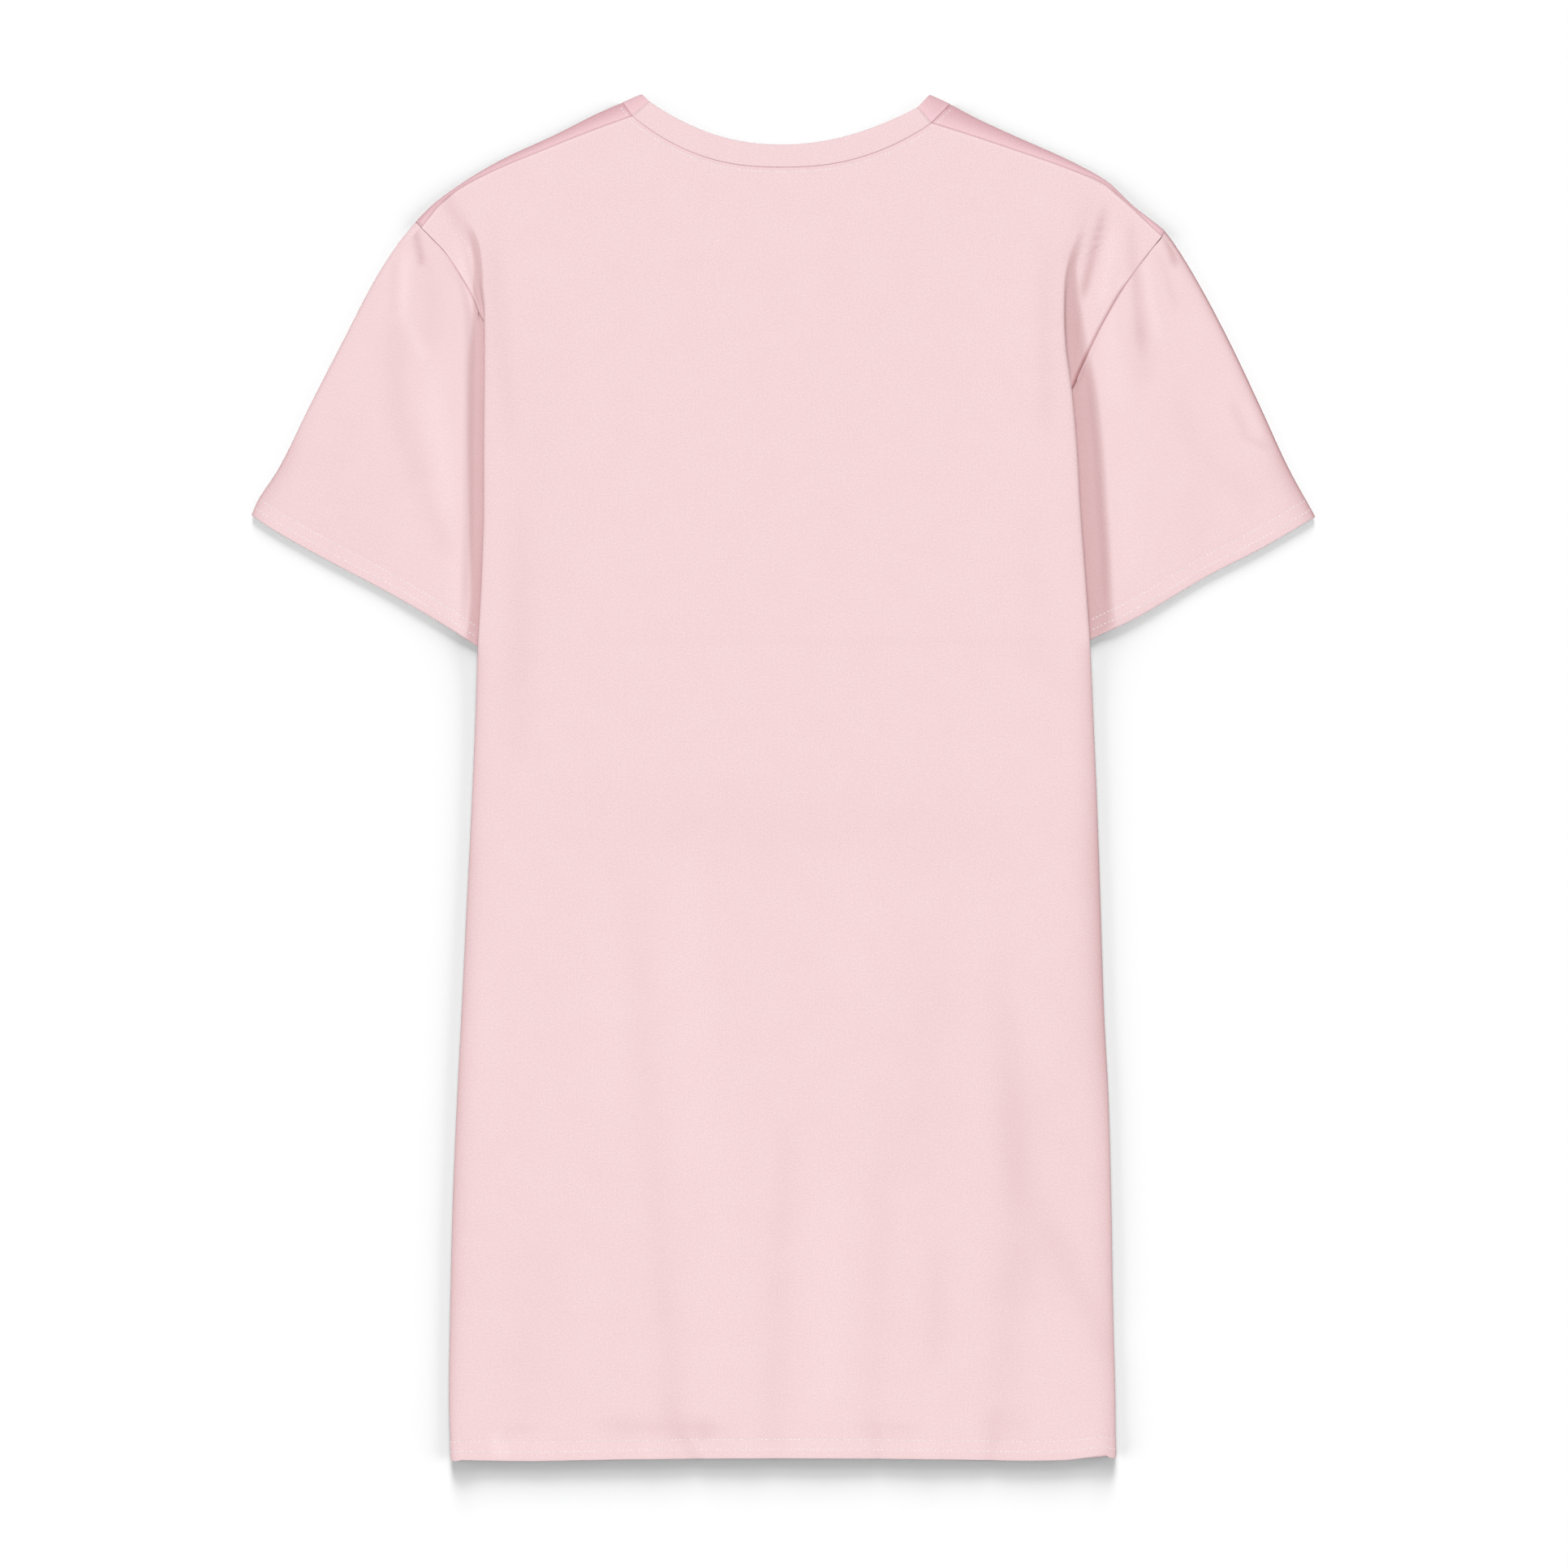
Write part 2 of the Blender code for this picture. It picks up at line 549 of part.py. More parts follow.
def build_front(material):
    """Lower panel with its shoulders folded over; the fold's rows leave out the neckline."""
    stations = len(SHOULDER_X["left"])
    folds = {side: [fold_column(*shoulder_pair(side, k), FLOOR, WALL, SHOULDER_TOP)
                    for k in range(stations)] for side in ("left", "right")}
    neck = [front_neck(FRONT_NECK, k / NECK_COLUMNS) for k in range(1, NECK_COLUMNS)]
    top = ([column[0][:2] for column in folds["left"]] + [np.array(p) for p in neck]
           + [column[0][:2] for column in folds["right"]])
    rows, walls = [], []
    for y in sorted(front_rows()):
        left, right = (front_edge_x("left", y), y), (front_edge_x("right", y), y)
        line = [left] + row_points(left, right, 0.0, top, stations - 1) + [right]
        wall = wall_at(y - HEM_Y)
        rows.append([(x, v + hem_shift(x, v), wall / 2) for x, v in line])
        walls.append(wall)
    for step in range(ARMHOLE_ROWS):
        left, right = [(seam_x(side, armhole_y(side, step)), armhole_y(side, step))
                       for side in ("left", "right")]
        flat_points = row_points(left, right, step / ARMHOLE_ROWS, top, stations - 1)
        line = [left] + flat_points + [right]
        rows.append([(x, y, FLOOR) for x, y in line])
        walls.append(WALL)
    rows.append([(x, y, FLOOR) for x, y in top])
    walls.append(WALL)
    flat_rows = len(rows)
    for step in range(1, len(folds["left"][0])):
        left, right = [[column[step] for column in folds[side]] for side in ("left", "right")]
        past_left, past_right = 2.0 * left[-1] - left[-2], 2.0 * right[0] - right[1]
        unused = [past_left] + [past_right] * (len(neck) - 1)
        rows.append(left + unused + right)
        walls.append(WALL)
    grid = np.array(rows)
    flat = np.zeros(grid.shape[:2], dtype=bool)
    flat[:flat_rows] = True
    count = grid.shape[1]
    normals = grid_normals(grid, flat, sign=-1.0)

    def keep(i, j):
        return i < flat_rows - 1 or j < stations - 1 or j >= count - stations

    outer, inner = skins(grid, normals, [[wall] * count for wall in walls])
    return build_cloth("front", outer, inner, grid_quads(*grid.shape[:2], keep), material)


# ---- sleeves ----
SEAM_STEPS = (0.0, 1.5, 6.0)    # first rings of a sleeve, measured from its armhole seam
SLEEVE_RINGS = 6                # rings between those and the cuff's turn-up
LAP = 1.5                       # how far the upper seam allowance goes under the back
UNDERARM_INSET = GAP + LAYER / 2 + WALL / 2     # from the side seam to the closed underarm edge


def seam_point(side, row):
    y = armhole_y(side, row)
    return np.array((seam_x(side, y), y))


def seam_outward(side, row):
    """Direction across the armhole seam, from the body to the sleeve."""
    before, after = seam_point(side, max(row - 1, 0)), seam_point(side, min(row + 1, ARMHOLE_ROWS))
    along = unit(after - before)
    normal = np.array((-along[1], along[0]))
    return normal if normal[0] * outward(side) > 0.0 else -normal


def sleeve_lap(side, row):
    """How far the sleeve's upper edge goes under the back, and how much lower it lies."""
    if row == ARMHOLE_ROWS:
        return -GAP, 0.0
    if row == ARMHOLE_ROWS - 1:
        return -GAP, LAYER
    return mix(-UNDERARM_INSET, LAP, min(row / 3.0, 1.0)), LAYER


def cuff_point(side, row):
    """Point of the cuff's edge at the end of the ruling that starts at an armhole row."""
    line = CUFF[side]
    hidden_x = seam_x(side, line[-1][1]) + outward(side) * UNDERARM_INSET
    inner_x = edge_x(side, line[-1][1] + 8.0) + outward(side) * 2.0
    outer_x = line[0][0] - outward(side) * 4.2
    ditch = DITCH_ROW[side]
    if row <= ditch:
        x = mix(hidden_x, inner_x, row / ditch)
    else:
        x = mix(inner_x, outer_x, ((row - ditch) / (ARMHOLE_ROWS - ditch)) ** 1.2)
    return np.array((x, curve(line, x)))


def sleeve_outline(side, t):
    """Point of the sleeve's folded edge at t from the shoulder (0) to the cuff (1)."""
    fold = SLEEVE_FOLD[side]
    y = mix(fold[0][1], fold[-1][1], t)
    return np.array((curve(fold, y, column=0, key=1), y))


def fold_across(side, t):
    """Direction from the sleeve's folded edge inwards, and the width of its rounded part."""
    outline, seam = shoulder_pair(side, 0 if side == "left" else -1)
    start = unit(seam - outline)
    end = unit(np.array(CUFF[side][1]) - np.array(CUFF[side][0]))
    return unit(mix(start, end, smooth(0.0, 0.5, t))), mix(np.linalg.norm(seam - outline), 4.6, t)


def ruling_point(side, row, t, start, end):
    """Point of a ruling, bowed with the pleat on one side and the folded edge on the other."""
    x, y = mix(start, end, t)
    ditch = DITCH_ROW[side]
    first, last = seam_point(side, ditch), cuff_point(side, ditch)
    level = mix(first[1], last[1], t)
    pleat = edge_x(side, level) + outward(side) * 2.0 - mix(first[0], last[0], t)
    pleat *= smooth(0.0, 0.12, t) * smooth(0.0, 0.05, 1.0 - t)
    outline = sleeve_outline(side, t) - mix(sleeve_outline(side, 0.0), sleeve_outline(side, 1.0), t)
    if row <= ditch:
        low, high = seam_point(side, 0), cuff_point(side, 0)
        level = mix(low[1], high[1], t)
        hidden = seam_x(side, level) - mix(low[0], high[0] - outward(side) * UNDERARM_INSET, t)
        return np.array((x + mix(hidden, pleat, row / ditch), y))
    share = (row - ditch) / (ARMHOLE_ROWS - ditch)
    return np.array((x + mix(pleat, outline[0], share), y))


def sleeve_height(side, x, y):
    """Middle height of the sleeve's upper cloth, rising from the ditch beside the pleat."""
    away = (x - edge_x(side, y)) * outward(side)
    level = mix(SLEEVE_SWELL, SLEEVE_LOW, smooth(18.0, 80.0, away))
    level += fold_height(x, y, SLEEVE_FOLDS[side])
    bank = smooth(DITCH_FLOOR[side], DITCH_FLOOR[side] + DITCH_BANK, away)
    return mix(SECOND, max(level, SECOND + 0.9), bank)


def sleeve_ring(side, ring):
    """One ring of the sleeve: upper cloth, folded edge, lower cloth and underarm edge."""
    upper, lower, walls = [], [], []
    ditch = DITCH_ROW[side]
    share = 0.0
    for row in range(ARMHOLE_ROWS + 1):
        seam, across = seam_point(side, row), seam_outward(side, row)
        lap, drop = sleeve_lap(side, row)
        end = cuff_point(side, row)
        length = np.linalg.norm(end - seam)
        last = length - HEM_TURN
        steps = list(SEAM_STEPS)
        steps += [mix(SEAM_STEPS[-1], last - 2.5, k / SLEEVE_RINGS) for k in range(1, SLEEVE_RINGS + 1)]
        steps += [last, length]
        distance = steps[ring]
        share = distance / length
        start = seam + across * max(GAP, -lap)
        point = ruling_point(side, row, share, start, end)
        wall = WALL if row <= ditch else wall_at(length - distance - 0.1)
        height = SECOND
        if row > ditch:
            height = sleeve_height(side, *point)
        if ring < 2:
            height = edge_section(side, armhole_y(side, row))[0][1] - drop if row > ditch else SECOND
        if row == ARMHOLE_ROWS:
            height = mix(SHOULDER_TOP, SLEEVE_LOW - 0.2, smooth(0.0, 0.5, share))
        top = seam - across * lap if ring == 0 else point
        height = max(height, wall / 2 + wall + GAP)
        upper.append((*top, height))
        lower.append((*point, wall / 2))
        walls.append(wall)
    outline = sleeve_outline(side, share)
    if ring == 0:
        outline = outline + seam_outward(side, ARMHOLE_ROWS) * GAP
    across, width = fold_across(side, share)
    column = fold_column(outline, outline + across * width, lower[-1][2], walls[-1], upper[-1][2])
    if ring > 0:
        upper[-1] = tuple(column[-1])
    lower[-1] = tuple(column[0])
    turned = np.array(upper[0][:2]) - seam_outward(side, 0) * LAYER / 2
    hinge = (*turned, (FLOOR + SECOND) / 2)
    points = upper + [tuple(p) for p in column[-2:0:-1]] + lower[::-1] + [hinge]
    thick = walls + [walls[-1]] * (len(column) - 2) + walls[::-1] + [WALL]
    return points, thick


def build_sleeve(side, material):
    rings = [sleeve_ring(side, k) for k in range(len(SEAM_STEPS) + SLEEVE_RINGS + 2)]
    grid = np.array([points for points, _ in rings])
    count = grid.shape[1]
    closed = np.concatenate([grid[:, -1:], grid, grid[:, :1]], axis=1)
    normals = grid_normals(closed, np.zeros(closed.shape[:2], dtype=bool))[:, 1:-1]
    if side == "right":
        normals = -normals
    lower = range(count - 2 - ARMHOLE_ROWS, count - 1)
    normals[:, list(lower)] = (0.0, 0.0, -1.0)
    normals[:, :DITCH_ROW[side] + 1] = (0.0, 0.0, 1.0)
    normals[:, -1] = (-outward(side), 0.0, 0.0)
    outer, inner = skins(grid, normals, [walls for _, walls in rings])
    quads = grid_quads(*grid.shape[:2], ring=True)
    return build_cloth(f"sleeve_{side}", outer, inner, quads, material)


# ---- neck rib ----
BAND_COLUMNS = 3


def band_grid(seam, edge):
    return np.array([[mix(np.array(a), np.array(b), k / BAND_COLUMNS)
                      for k in range(BAND_COLUMNS + 1)] for a, b in zip(seam, edge)])


def neck_line():
    """Direction of the rib's shoulder seam at each side, from the neckline to the free edge."""
    return {side: unit(np.array(NECK_EDGE[side][:2]) - np.array(NECK_SEAM[side][:2]))
            for side in ("left", "right")}


def build_neckband_back(material):
    xs = neck_xs()
    count = BACK_NECK_COLUMNS
    low, high = NECK_EDGE["left"][0], NECK_EDGE["right"][0]
    seam, edge = [], []
    for k, x in enumerate(xs):
        z = top_height(x) + (BAND_WALL - WALL) / 2
        edge_at = mix(low, high, k / count)
        a = np.array((x, neck_curve(NECK_SEAM, x)))
        b = np.array((edge_at, neck_curve(NECK_EDGE, edge_at)))
        if k in (0, count):
            along = neck_line()["left" if k == 0 else "right"]
            clear = np.array((along[1], -along[0])) * (GAP if k == 0 else -GAP)
            a, b = a + clear + along * GAP, b + clear
        seam.append((*a, z))
        edge.append((*b, z))
    grid = band_grid(seam, edge)
    normals = grid_normals(grid, np.zeros(grid.shape[:2], dtype=bool))
    outer, inner = skins(grid, normals, np.full(grid.shape[:2], BAND_WALL))
    return build_cloth("neckband_back", outer, inner, grid_quads(*grid.shape[:2]), material)


def band_fold(side, inner):
    """Column of the rib over the shoulder, on its seam or on its free edge."""
    top = SHOULDER_TOP + (BAND_WALL - WALL) / 2
    fold = np.array((FRONT_NECK_EDGE if inner else FRONT_NECK)[side])
    seam = np.array((NECK_EDGE if inner else NECK_SEAM)[side][:2])
    if not inner:
        across = unit(np.array(FRONT_NECK_EDGE[side]) - fold)
        fold = fold + across * GAP
        seam = seam + neck_line()[side] * GAP
    return fold_column(fold, seam, BAND_WALL / 2, BAND_WALL, top)


def build_neckband_front(material):
    """Rib along the front neckline, folded over both shoulders up to its shoulder seams."""
    seam = [tuple(p) for p in band_fold("left", False)[::-1]]
    edge = [tuple(p) for p in band_fold("left", True)[::-1]]
    for k in range(1, NECK_COLUMNS):
        a = np.array(front_neck(FRONT_NECK, k / NECK_COLUMNS))
        b = np.array(front_neck(FRONT_NECK_EDGE, k / NECK_COLUMNS))
        a = a + unit(b - a) * GAP
        seam.append((*a, BAND_WALL / 2))
        edge.append((*b, BAND_WALL / 2))
    folded = len(band_fold("left", False)) - 1
    seam += [tuple(p) for p in band_fold("right", False)]
    edge += [tuple(p) for p in band_fold("right", True)]
    grid = band_grid(seam, edge)
    flat = np.zeros(grid.shape[:2], dtype=bool)
    flat[folded:grid.shape[0] - folded] = True
    normals = grid_normals(grid, flat)
    outer, inner = skins(grid, normals, np.full(grid.shape[:2], BAND_WALL))
    return build_cloth("neckband_front", outer, inner, grid_quads(*grid.shape[:2]), material)


# ---- materials and main ----
def cloth_material(name, colour):
    material = bpy.data.materials.new(name)
    material.use_nodes = True
    shader = material.node_tree.nodes["Principled BSDF"]
    shader.inputs["Base Color"].default_value = colour
    shader.inputs["Roughness"].default_value = ROUGHNESS
    shader.inputs["Metallic"].default_value = 0.0
    material.diffuse_color = colour
    return material


def clear_scene():
    for thing in list(bpy.data.objects):
        bpy.data.objects.remove(thing, do_unlink=True)


def main():
    clear_scene()
    build_back(cloth_material("back_jersey", PALE_PINK))
    build_front(cloth_material("front_jersey", DEEP_PINK))
    for side in ("left", "right"):
        build_sleeve(side, cloth_material(f"sleeve_{side}_jersey", PALE_PINK))
    build_neckband_back(cloth_material("neckband_back_rib", PALE_PINK))
    build_neckband_front(cloth_material("neckband_front_rib", DEEP_PINK))


main()
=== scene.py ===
"""Looks of a t-shirt dress that lies flat with its back side up.

+X runs across to the wearer's right, +Y to the neck, +Z up. Sizes are in millimetres up to
to_mesh(), which turns them into metres. Every cloth is a thin closed shell on the form of its
solid, with finer rows, its seams drawn together, its hems rounded and its thread laid on top.
"""
from collections import namedtuple
import math

import bpy
import numpy as np
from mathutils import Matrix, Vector, noise
from mathutils.bvhtree import BVHTree


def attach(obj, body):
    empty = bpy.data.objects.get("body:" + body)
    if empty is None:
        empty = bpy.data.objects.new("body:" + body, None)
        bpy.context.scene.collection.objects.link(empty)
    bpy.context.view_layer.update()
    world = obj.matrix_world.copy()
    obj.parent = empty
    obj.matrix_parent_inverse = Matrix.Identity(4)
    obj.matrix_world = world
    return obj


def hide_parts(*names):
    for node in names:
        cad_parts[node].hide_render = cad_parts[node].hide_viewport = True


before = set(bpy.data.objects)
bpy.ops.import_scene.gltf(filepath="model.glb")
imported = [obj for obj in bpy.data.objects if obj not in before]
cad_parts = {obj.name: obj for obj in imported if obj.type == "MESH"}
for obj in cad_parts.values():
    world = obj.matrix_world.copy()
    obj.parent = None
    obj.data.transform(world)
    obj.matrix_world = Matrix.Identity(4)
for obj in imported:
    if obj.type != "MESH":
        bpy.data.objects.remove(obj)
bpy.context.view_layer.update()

MM = 0.001

# ---- cloth ----
WALL = 0.9                      # jersey with its loft
BAND_WALL = 1.6                 # doubled rib of the neck
HEM_WALL = 1.5                  # turned-up hem
CUFF_WALL = 1.0                 # pressed cuffs
HEM_TURN = 12.8                 # height of a turned-up hem
SOLID_WALL = 1.2                # wall of the solids that these shells stand for
LAYER = 1.5                     # pitch of cloths lying on each other
FLOOR = 0.6                     # middle of the cloth that rests on the ground
SECOND = FLOOR + LAYER
THIRD = SECOND + LAYER
SEAM_GAP = 0.12                 # between two cloths that are sewn edge to edge
SEAM_DIPS = (0.25, 0.14, 0.05)  # how far the cloth sinks at a seam, and in the rows beside it
BAND_FLOOR = 0.9                # middle of the rib that rests on the ground
SOLID_BAND_WALL = 1.8           # wall of the rib's solids
PAPER_Z = -0.3
PAPER_HALF = 15000.0            # half the width of the paper

# ---- stitches ----
HEM_STITCH = (5.8, 12.3)        # twin rows, from the folded edge
CUFF_STITCH = (5.4, 11.9)
NECK_STITCH = ((-65.0, 3.2), (0.0, 2.9), (65.0, 3.7))     # x, and distance from the neck seam
STRIP_STITCH = 2.7              # from the rib's seam on the shoulder strips
STITCH_PITCH = 2.6
STITCH_LENGTH = 1.6
THREAD = 0.5                    # thickness
# Rings of one rounded stitch: place along it, width and rise, each as a share of its full size.
STITCH_FORM = ((-0.5, 0.35, -0.5), (-0.32, 0.95, 0.1), (0.0, 1.0, 0.3), (0.32, 0.95, 0.1),
               (0.5, 0.35, -0.5))
STITCH_SIDES = 6
STITCH_CUTS = 8                 # parts of the line from one stitch to the next

# ---- outline: silhouette of the sides and, above the cuffs, of the pleat over the armhole ----
EDGE_COLUMNS = ("y", "left", "right")
EDGE = (
    (-433, -210.2, 210.5), (-391, -211.6, 210.2), (-330, -210.7, 208.7),
    (-268, -209.2, 207.7), (-206, -206.6, 206.1), (-145, -203.5, 203),
    (-83, -200.5, 201), (-21, -197.4, 198.9), (40, -194.8, 196.3),
    (82, -193.3, 194.3), (134, -190.7, 190.7), (169, -189.7, 188.1),
    (205, -189.7, 186.1), (246, -189.4, 182.5), (275, -189.2, 178.9),
    (292, -189.4, 178.4), (311, -191.7, 178.9), (327, -192.8, 181.4),
    (340, -195, 186.1), (350, -199.5, 189.5), (372, -209.5, 196),
)
# How far the side seam lies inside that silhouette: y, width.
TUCK = ((36, 1), (50, 1.6), (58, 4.5), (65, 9.5), (72, 12.5), (110, 13.8),
        (161.1, 16.3))
# Armhole seam from the underarm to the shoulder, in the same columns as the silhouette.
ARMHOLE = (
    (161.1, -173.4, 172.2), (174.5, -175, 173.6), (184, -176.1, 174.8),
    (205, -178.4, 177.3), (225, -180.5, 179.4), (239, -182, 180.6),
    (252, -183.4, 185.4), (266, -185, 191.6), (281.4, -186.6, 198.9),
    (294.7, -192.7, 206.1), (306, -197.5, 212.6), (321, -206.2, 223),
    (334, -215, 232.6), (342.6, -223.6, 239.5), (348.2, -229, 241.5),
)
# Middle height of the cloth along the silhouette, and in the ditch beside it where it is open.
CREST_COLUMNS = ("y", "crest", "left", "right")
CREST = (
    (-433, 5.1, 2.1, 2.1), (-418, 5, 2.1, 2.1), (-390, 4.7, 2.1, 2.1),
    (-300, 4.7, 2.1, 2.1), (-100, 4.7, 2.1, 2.1), (20, 5.1, 2.1, 2.1),
    (60, 6.2, 2.1, 2.1), (84, 7.3, 3.6, 3.6), (120, 7.9, 3.6, 3.6),
    (180, 8.1, 3.6, 3.6), (246, 8.1, 3.6, 3.6), (262, 8.1, 3.6, 3),
    (290, 7.6, 3.3, 2.3), (311, 6.9, 2.7, 2.3), (330, 5.8, 2.7, 2.6),
    (345, 4.7, 3.2, 3.4), (358, 4.1, 3.7, 3.9), (372, 4, 4, 4),
)
UNDERARM_Y = 161.1
HEM_Y = -433.0
ARMHOLE_ROWS = 14
OPEN_HEIGHT = 3.9               # middle height of the back where it lies open
HEM_HEIGHT = 3.55               # and above its hem
PLEAT_SPAN = (46.0, 90.0, 290.0, 345.0)     # y where the pleats start, are full, fall off and end
EDGE_BANK, PLEAT_BANK = (4.0, 24.0), (9.0, 62.0)    # start and end of the bank down to open cloth
# How hard the armhole's seam is pulled in: y where that begins to fall off and has, and the pull.
ARMHOLE_PULL = {"left": (320, 338, 0.35), "right": (306, 326, 1.4)}
SHOULDER_PULL = -0.8            # above it, where the seam lies flat
# Shoulder seam on the back side, and the fold above it that is the garment's outline: x, y.
SHOULDER_SEAM = {
    "left": ((-229, 348.2), (-218.5, 361.6), (-207, 371.4), (-183, 384.2),
             (-158, 394.7), (-115.7, 411.5), (-95.6, 418.7)),
    "right": ((93.8, 414.3), (120.8, 405.8), (150, 396), (177.8, 386.3),
              (203.5, 375.5), (221, 360.6), (239.5, 342.6)),
}
SHOULDER_FOLD = {
    "left": ((-232.8, 351.8), (-222.8, 362), (-206.6, 374.3), (-180.9, 389.9),
             (-143.9, 407.3), (-115.7, 421.4), (-101.8, 427.4)),
    "right": ((105.9, 426.4), (120.8, 418.3), (144.4, 407.3), (183, 389.9),
              (205.1, 377.5), (221.5, 362.1), (241.6, 346.1)),
}
# x of the last points of each shoulder seam, from its outer tip inwards.
SHOULDER_ENDS = {"left": (-229, -218.5, -207), "right": (239.5, 221, 205)}
SHOULDER_TOP = 4.0              # middle height of the cloth along the shoulders

# Neck: tips and power of the back rib's seam and free edge, and the deeper front neckline.
NECK_SEAM = {"left": (-95.6, 418.7, 2.45), "right": (93.8, 414.3, 2.30), "low": 386.5}
NECK_EDGE = {"left": (-84.8, 427.9, 2.20), "right": (85.3, 424.3, 1.95), "low": 400.7}
FRONT_NECK = {"left": (-101.8, 427.4), "right": (105.9, 426.4), "low": 323.6}
FRONT_NECK_EDGE = {"left": (-89.7, 432.7), "right": (92.8, 432.4), "low": 337.5}
NECK_SAG = 1.9                  # how far the back neck sinks into the open front neck
SAG_HALF_WIDTH, SAG_HALF_LENGTH, SAG_Y = 62.0, 82.0, 405.0

# Sleeves: folded outer edge from shoulder to cuff, and the cuff's edge, each as x, y.
SLEEVE_FOLD = {
    "left": ((-232.8, 351.8), (-243.6, 338.5), (-257, 317.9), (-278.6, 276.8),
             (-299.7, 235.7), (-320.2, 194.6), (-333.2, 174.5), (-336.7, 166.3)),
    "right": ((241.6, 346.1), (247.2, 338.5), (260.1, 317.9), (282.2, 276.8),
              (301.7, 235.7), (320.7, 194.6), (331.8, 174.5), (337, 165.3)),
}
CUFF = {
    "left": ((-336.7, 166.3), (-324.3, 158.1), (-294.5, 141.1), (-247.2, 115.9),
             (-212.3, 95.3), (-193.8, 83.5), (-181.3, 75.8)),
    "right": ((337, 165.3), (303.3, 145.7), (268.3, 127.7), (221, 100),
              (194.8, 87.6), (182.3, 80)),
}
DITCH_ROW = {"left": 10, "right": 7}    # armhole row where the seam comes out of the pleat
SLEEVE_SWELL = 5.7                      # middle height of the sleeve beside the pleat
SLEEVE_LOW = 3.8                        # middle height near the folded edge
DITCH_FLOOR = {"left": 5, "right": 8.5}   # flat bottom of the ditch beside the pleat
DITCH_BANK = 9.0                        # width of its bank on the sleeve
BESIDE_PLEAT = 2.0                      # the sleeve's ditch row lies this far outside the pleat
CUFF_SPREAD = 1.2                       # power that spreads the rulings along the cuff
CUFF_FOLD = 4.6                         # width of the folded edge at the cuff

# The hem's line across the body, x and y.
HEM_LINE = ((-213, -431.9), (-192, -432.6), (-162, -433.1), (-131, -432.6),
            (-100, -432), (0, -431.3), (110, -432.1), (152, -432.8), (178, -432.5),
            (213, -429.9))
# Soft folds: start, end, half width, height, and painted shade at the middle (below 0 a painted highlight).
Fold = namedtuple("Fold", "name x0 y0 x1 y1 half_width height shade")


def fold_rows(*rows):
    """Folds from rows of a table."""
    return tuple(Fold(*row) for row in rows)


FOLDS = fold_rows(
    ("left long trough", -92, -60, -78, -285, 9, -0.8, 0.07),
    ("left long trough end", -79, -268, -66, -425, 9.5, -0.9, 0.12),
    ("left long ridge", -62, -50, -50, -260, 16, 0.7, -0.07),
    ("left outer ridge", -108, -90, -112, -220, 16, 0.5, -0.05),
    ("left side ridge", -187, -110, -189, -210, 9, 0.4, -0.05),
    ("left outer hollow", -160, -280, -158, -410, 20, -0.6, 0.07),
    ("centre ridge", 45, -40, 44, -140, 16, 0.4, -0.04),
    ("middle trough", 4, -215, -1.5, -300, 7.5, -0.8, 0.10),
    ("middle trough end", -0.5, -288, -6, -425, 9, -1, 0.11),
    ("middle swell", -36, -240, -38, -400, 14, 0.4, -0.04),
    ("middle ridge", 30, -250, 29, -405, 14, 0.8, -0.09),
    ("right inner trough", 66, -200, 58, -400, 9, -0.6, 0.08),
    ("right inner hollow", 92, -100, 90, -260, 20, -0.5, 0.07),
    ("right inner dent", 97, -290, 97, -372, 8.5, -0.5, 0.12),
    ("right outer hollow", 178, -110, 186, -330, 16, 0, 0.05),
    ("right long trough", 138, -112, 149.5, -278, 9.5, -1, 0.15),
    ("right long trough end", 147, -180, 153, -330, 15.5, -0.7, 0.16),
    ("right branch to side", 160, -268, 208, -368, 8.5, -1, 0.16),
    ("right branch to hem", 146, -290, 138, -425, 12, -0.8, 0.13),
    ("left side valley", -185, 352, -171, 215, 6.5, -0.5, 0.14),
    ("left side valley end", -164, 180, -165, 10, 9, -0.6, 0.11),
    ("right side valley", 165.5, 345, 166, 215, 6.5, -0.4, 0.14),
    ("right side valley end", 157, 180, 160, 60, 10, -0.3, 0.05),
    ("left shoulder hollow", -218, 374, -197, 338, 5, -0.8, 0.28),
    ("right shoulder hollow", 197, 372, 179, 326, 7, -0.6, 0.14),
    ("waist crease", -146, 88, 182, 86, 2.4, -0.15, 0.05),
    ("waist hollow", -150, -26, 150, -34, 24, 0, 0.06),
    ("hem band", -124, -408.5, -34, -412.5, 5, -0.5, 0.17),
    ("second hem band", 42, -411, 86, -411.5, 4.4, -0.4, 0.14),
    ("third hem band", 122, -408, 156, -409, 8, -0.3, 0.09),
    ("left hem band", -178, -411.5, -157, -412.5, 3.6, -0.3, 0.14),
)
FLAP_FOLDS = fold_rows(
    ("right second trough", 203.5, 362, 189, 304, 2.9, -1.4, 0.85),
    ("right flap ridge", 210, 352, 202, 300, 4, 0.6, -0.16),
    ("right third trough", 219.5, 352, 221.5, 316, 3.6, -0.5, 0.30),
    ("left flap ridge", -207, 346, -200, 308, 4, 0.5, -0.14),
)
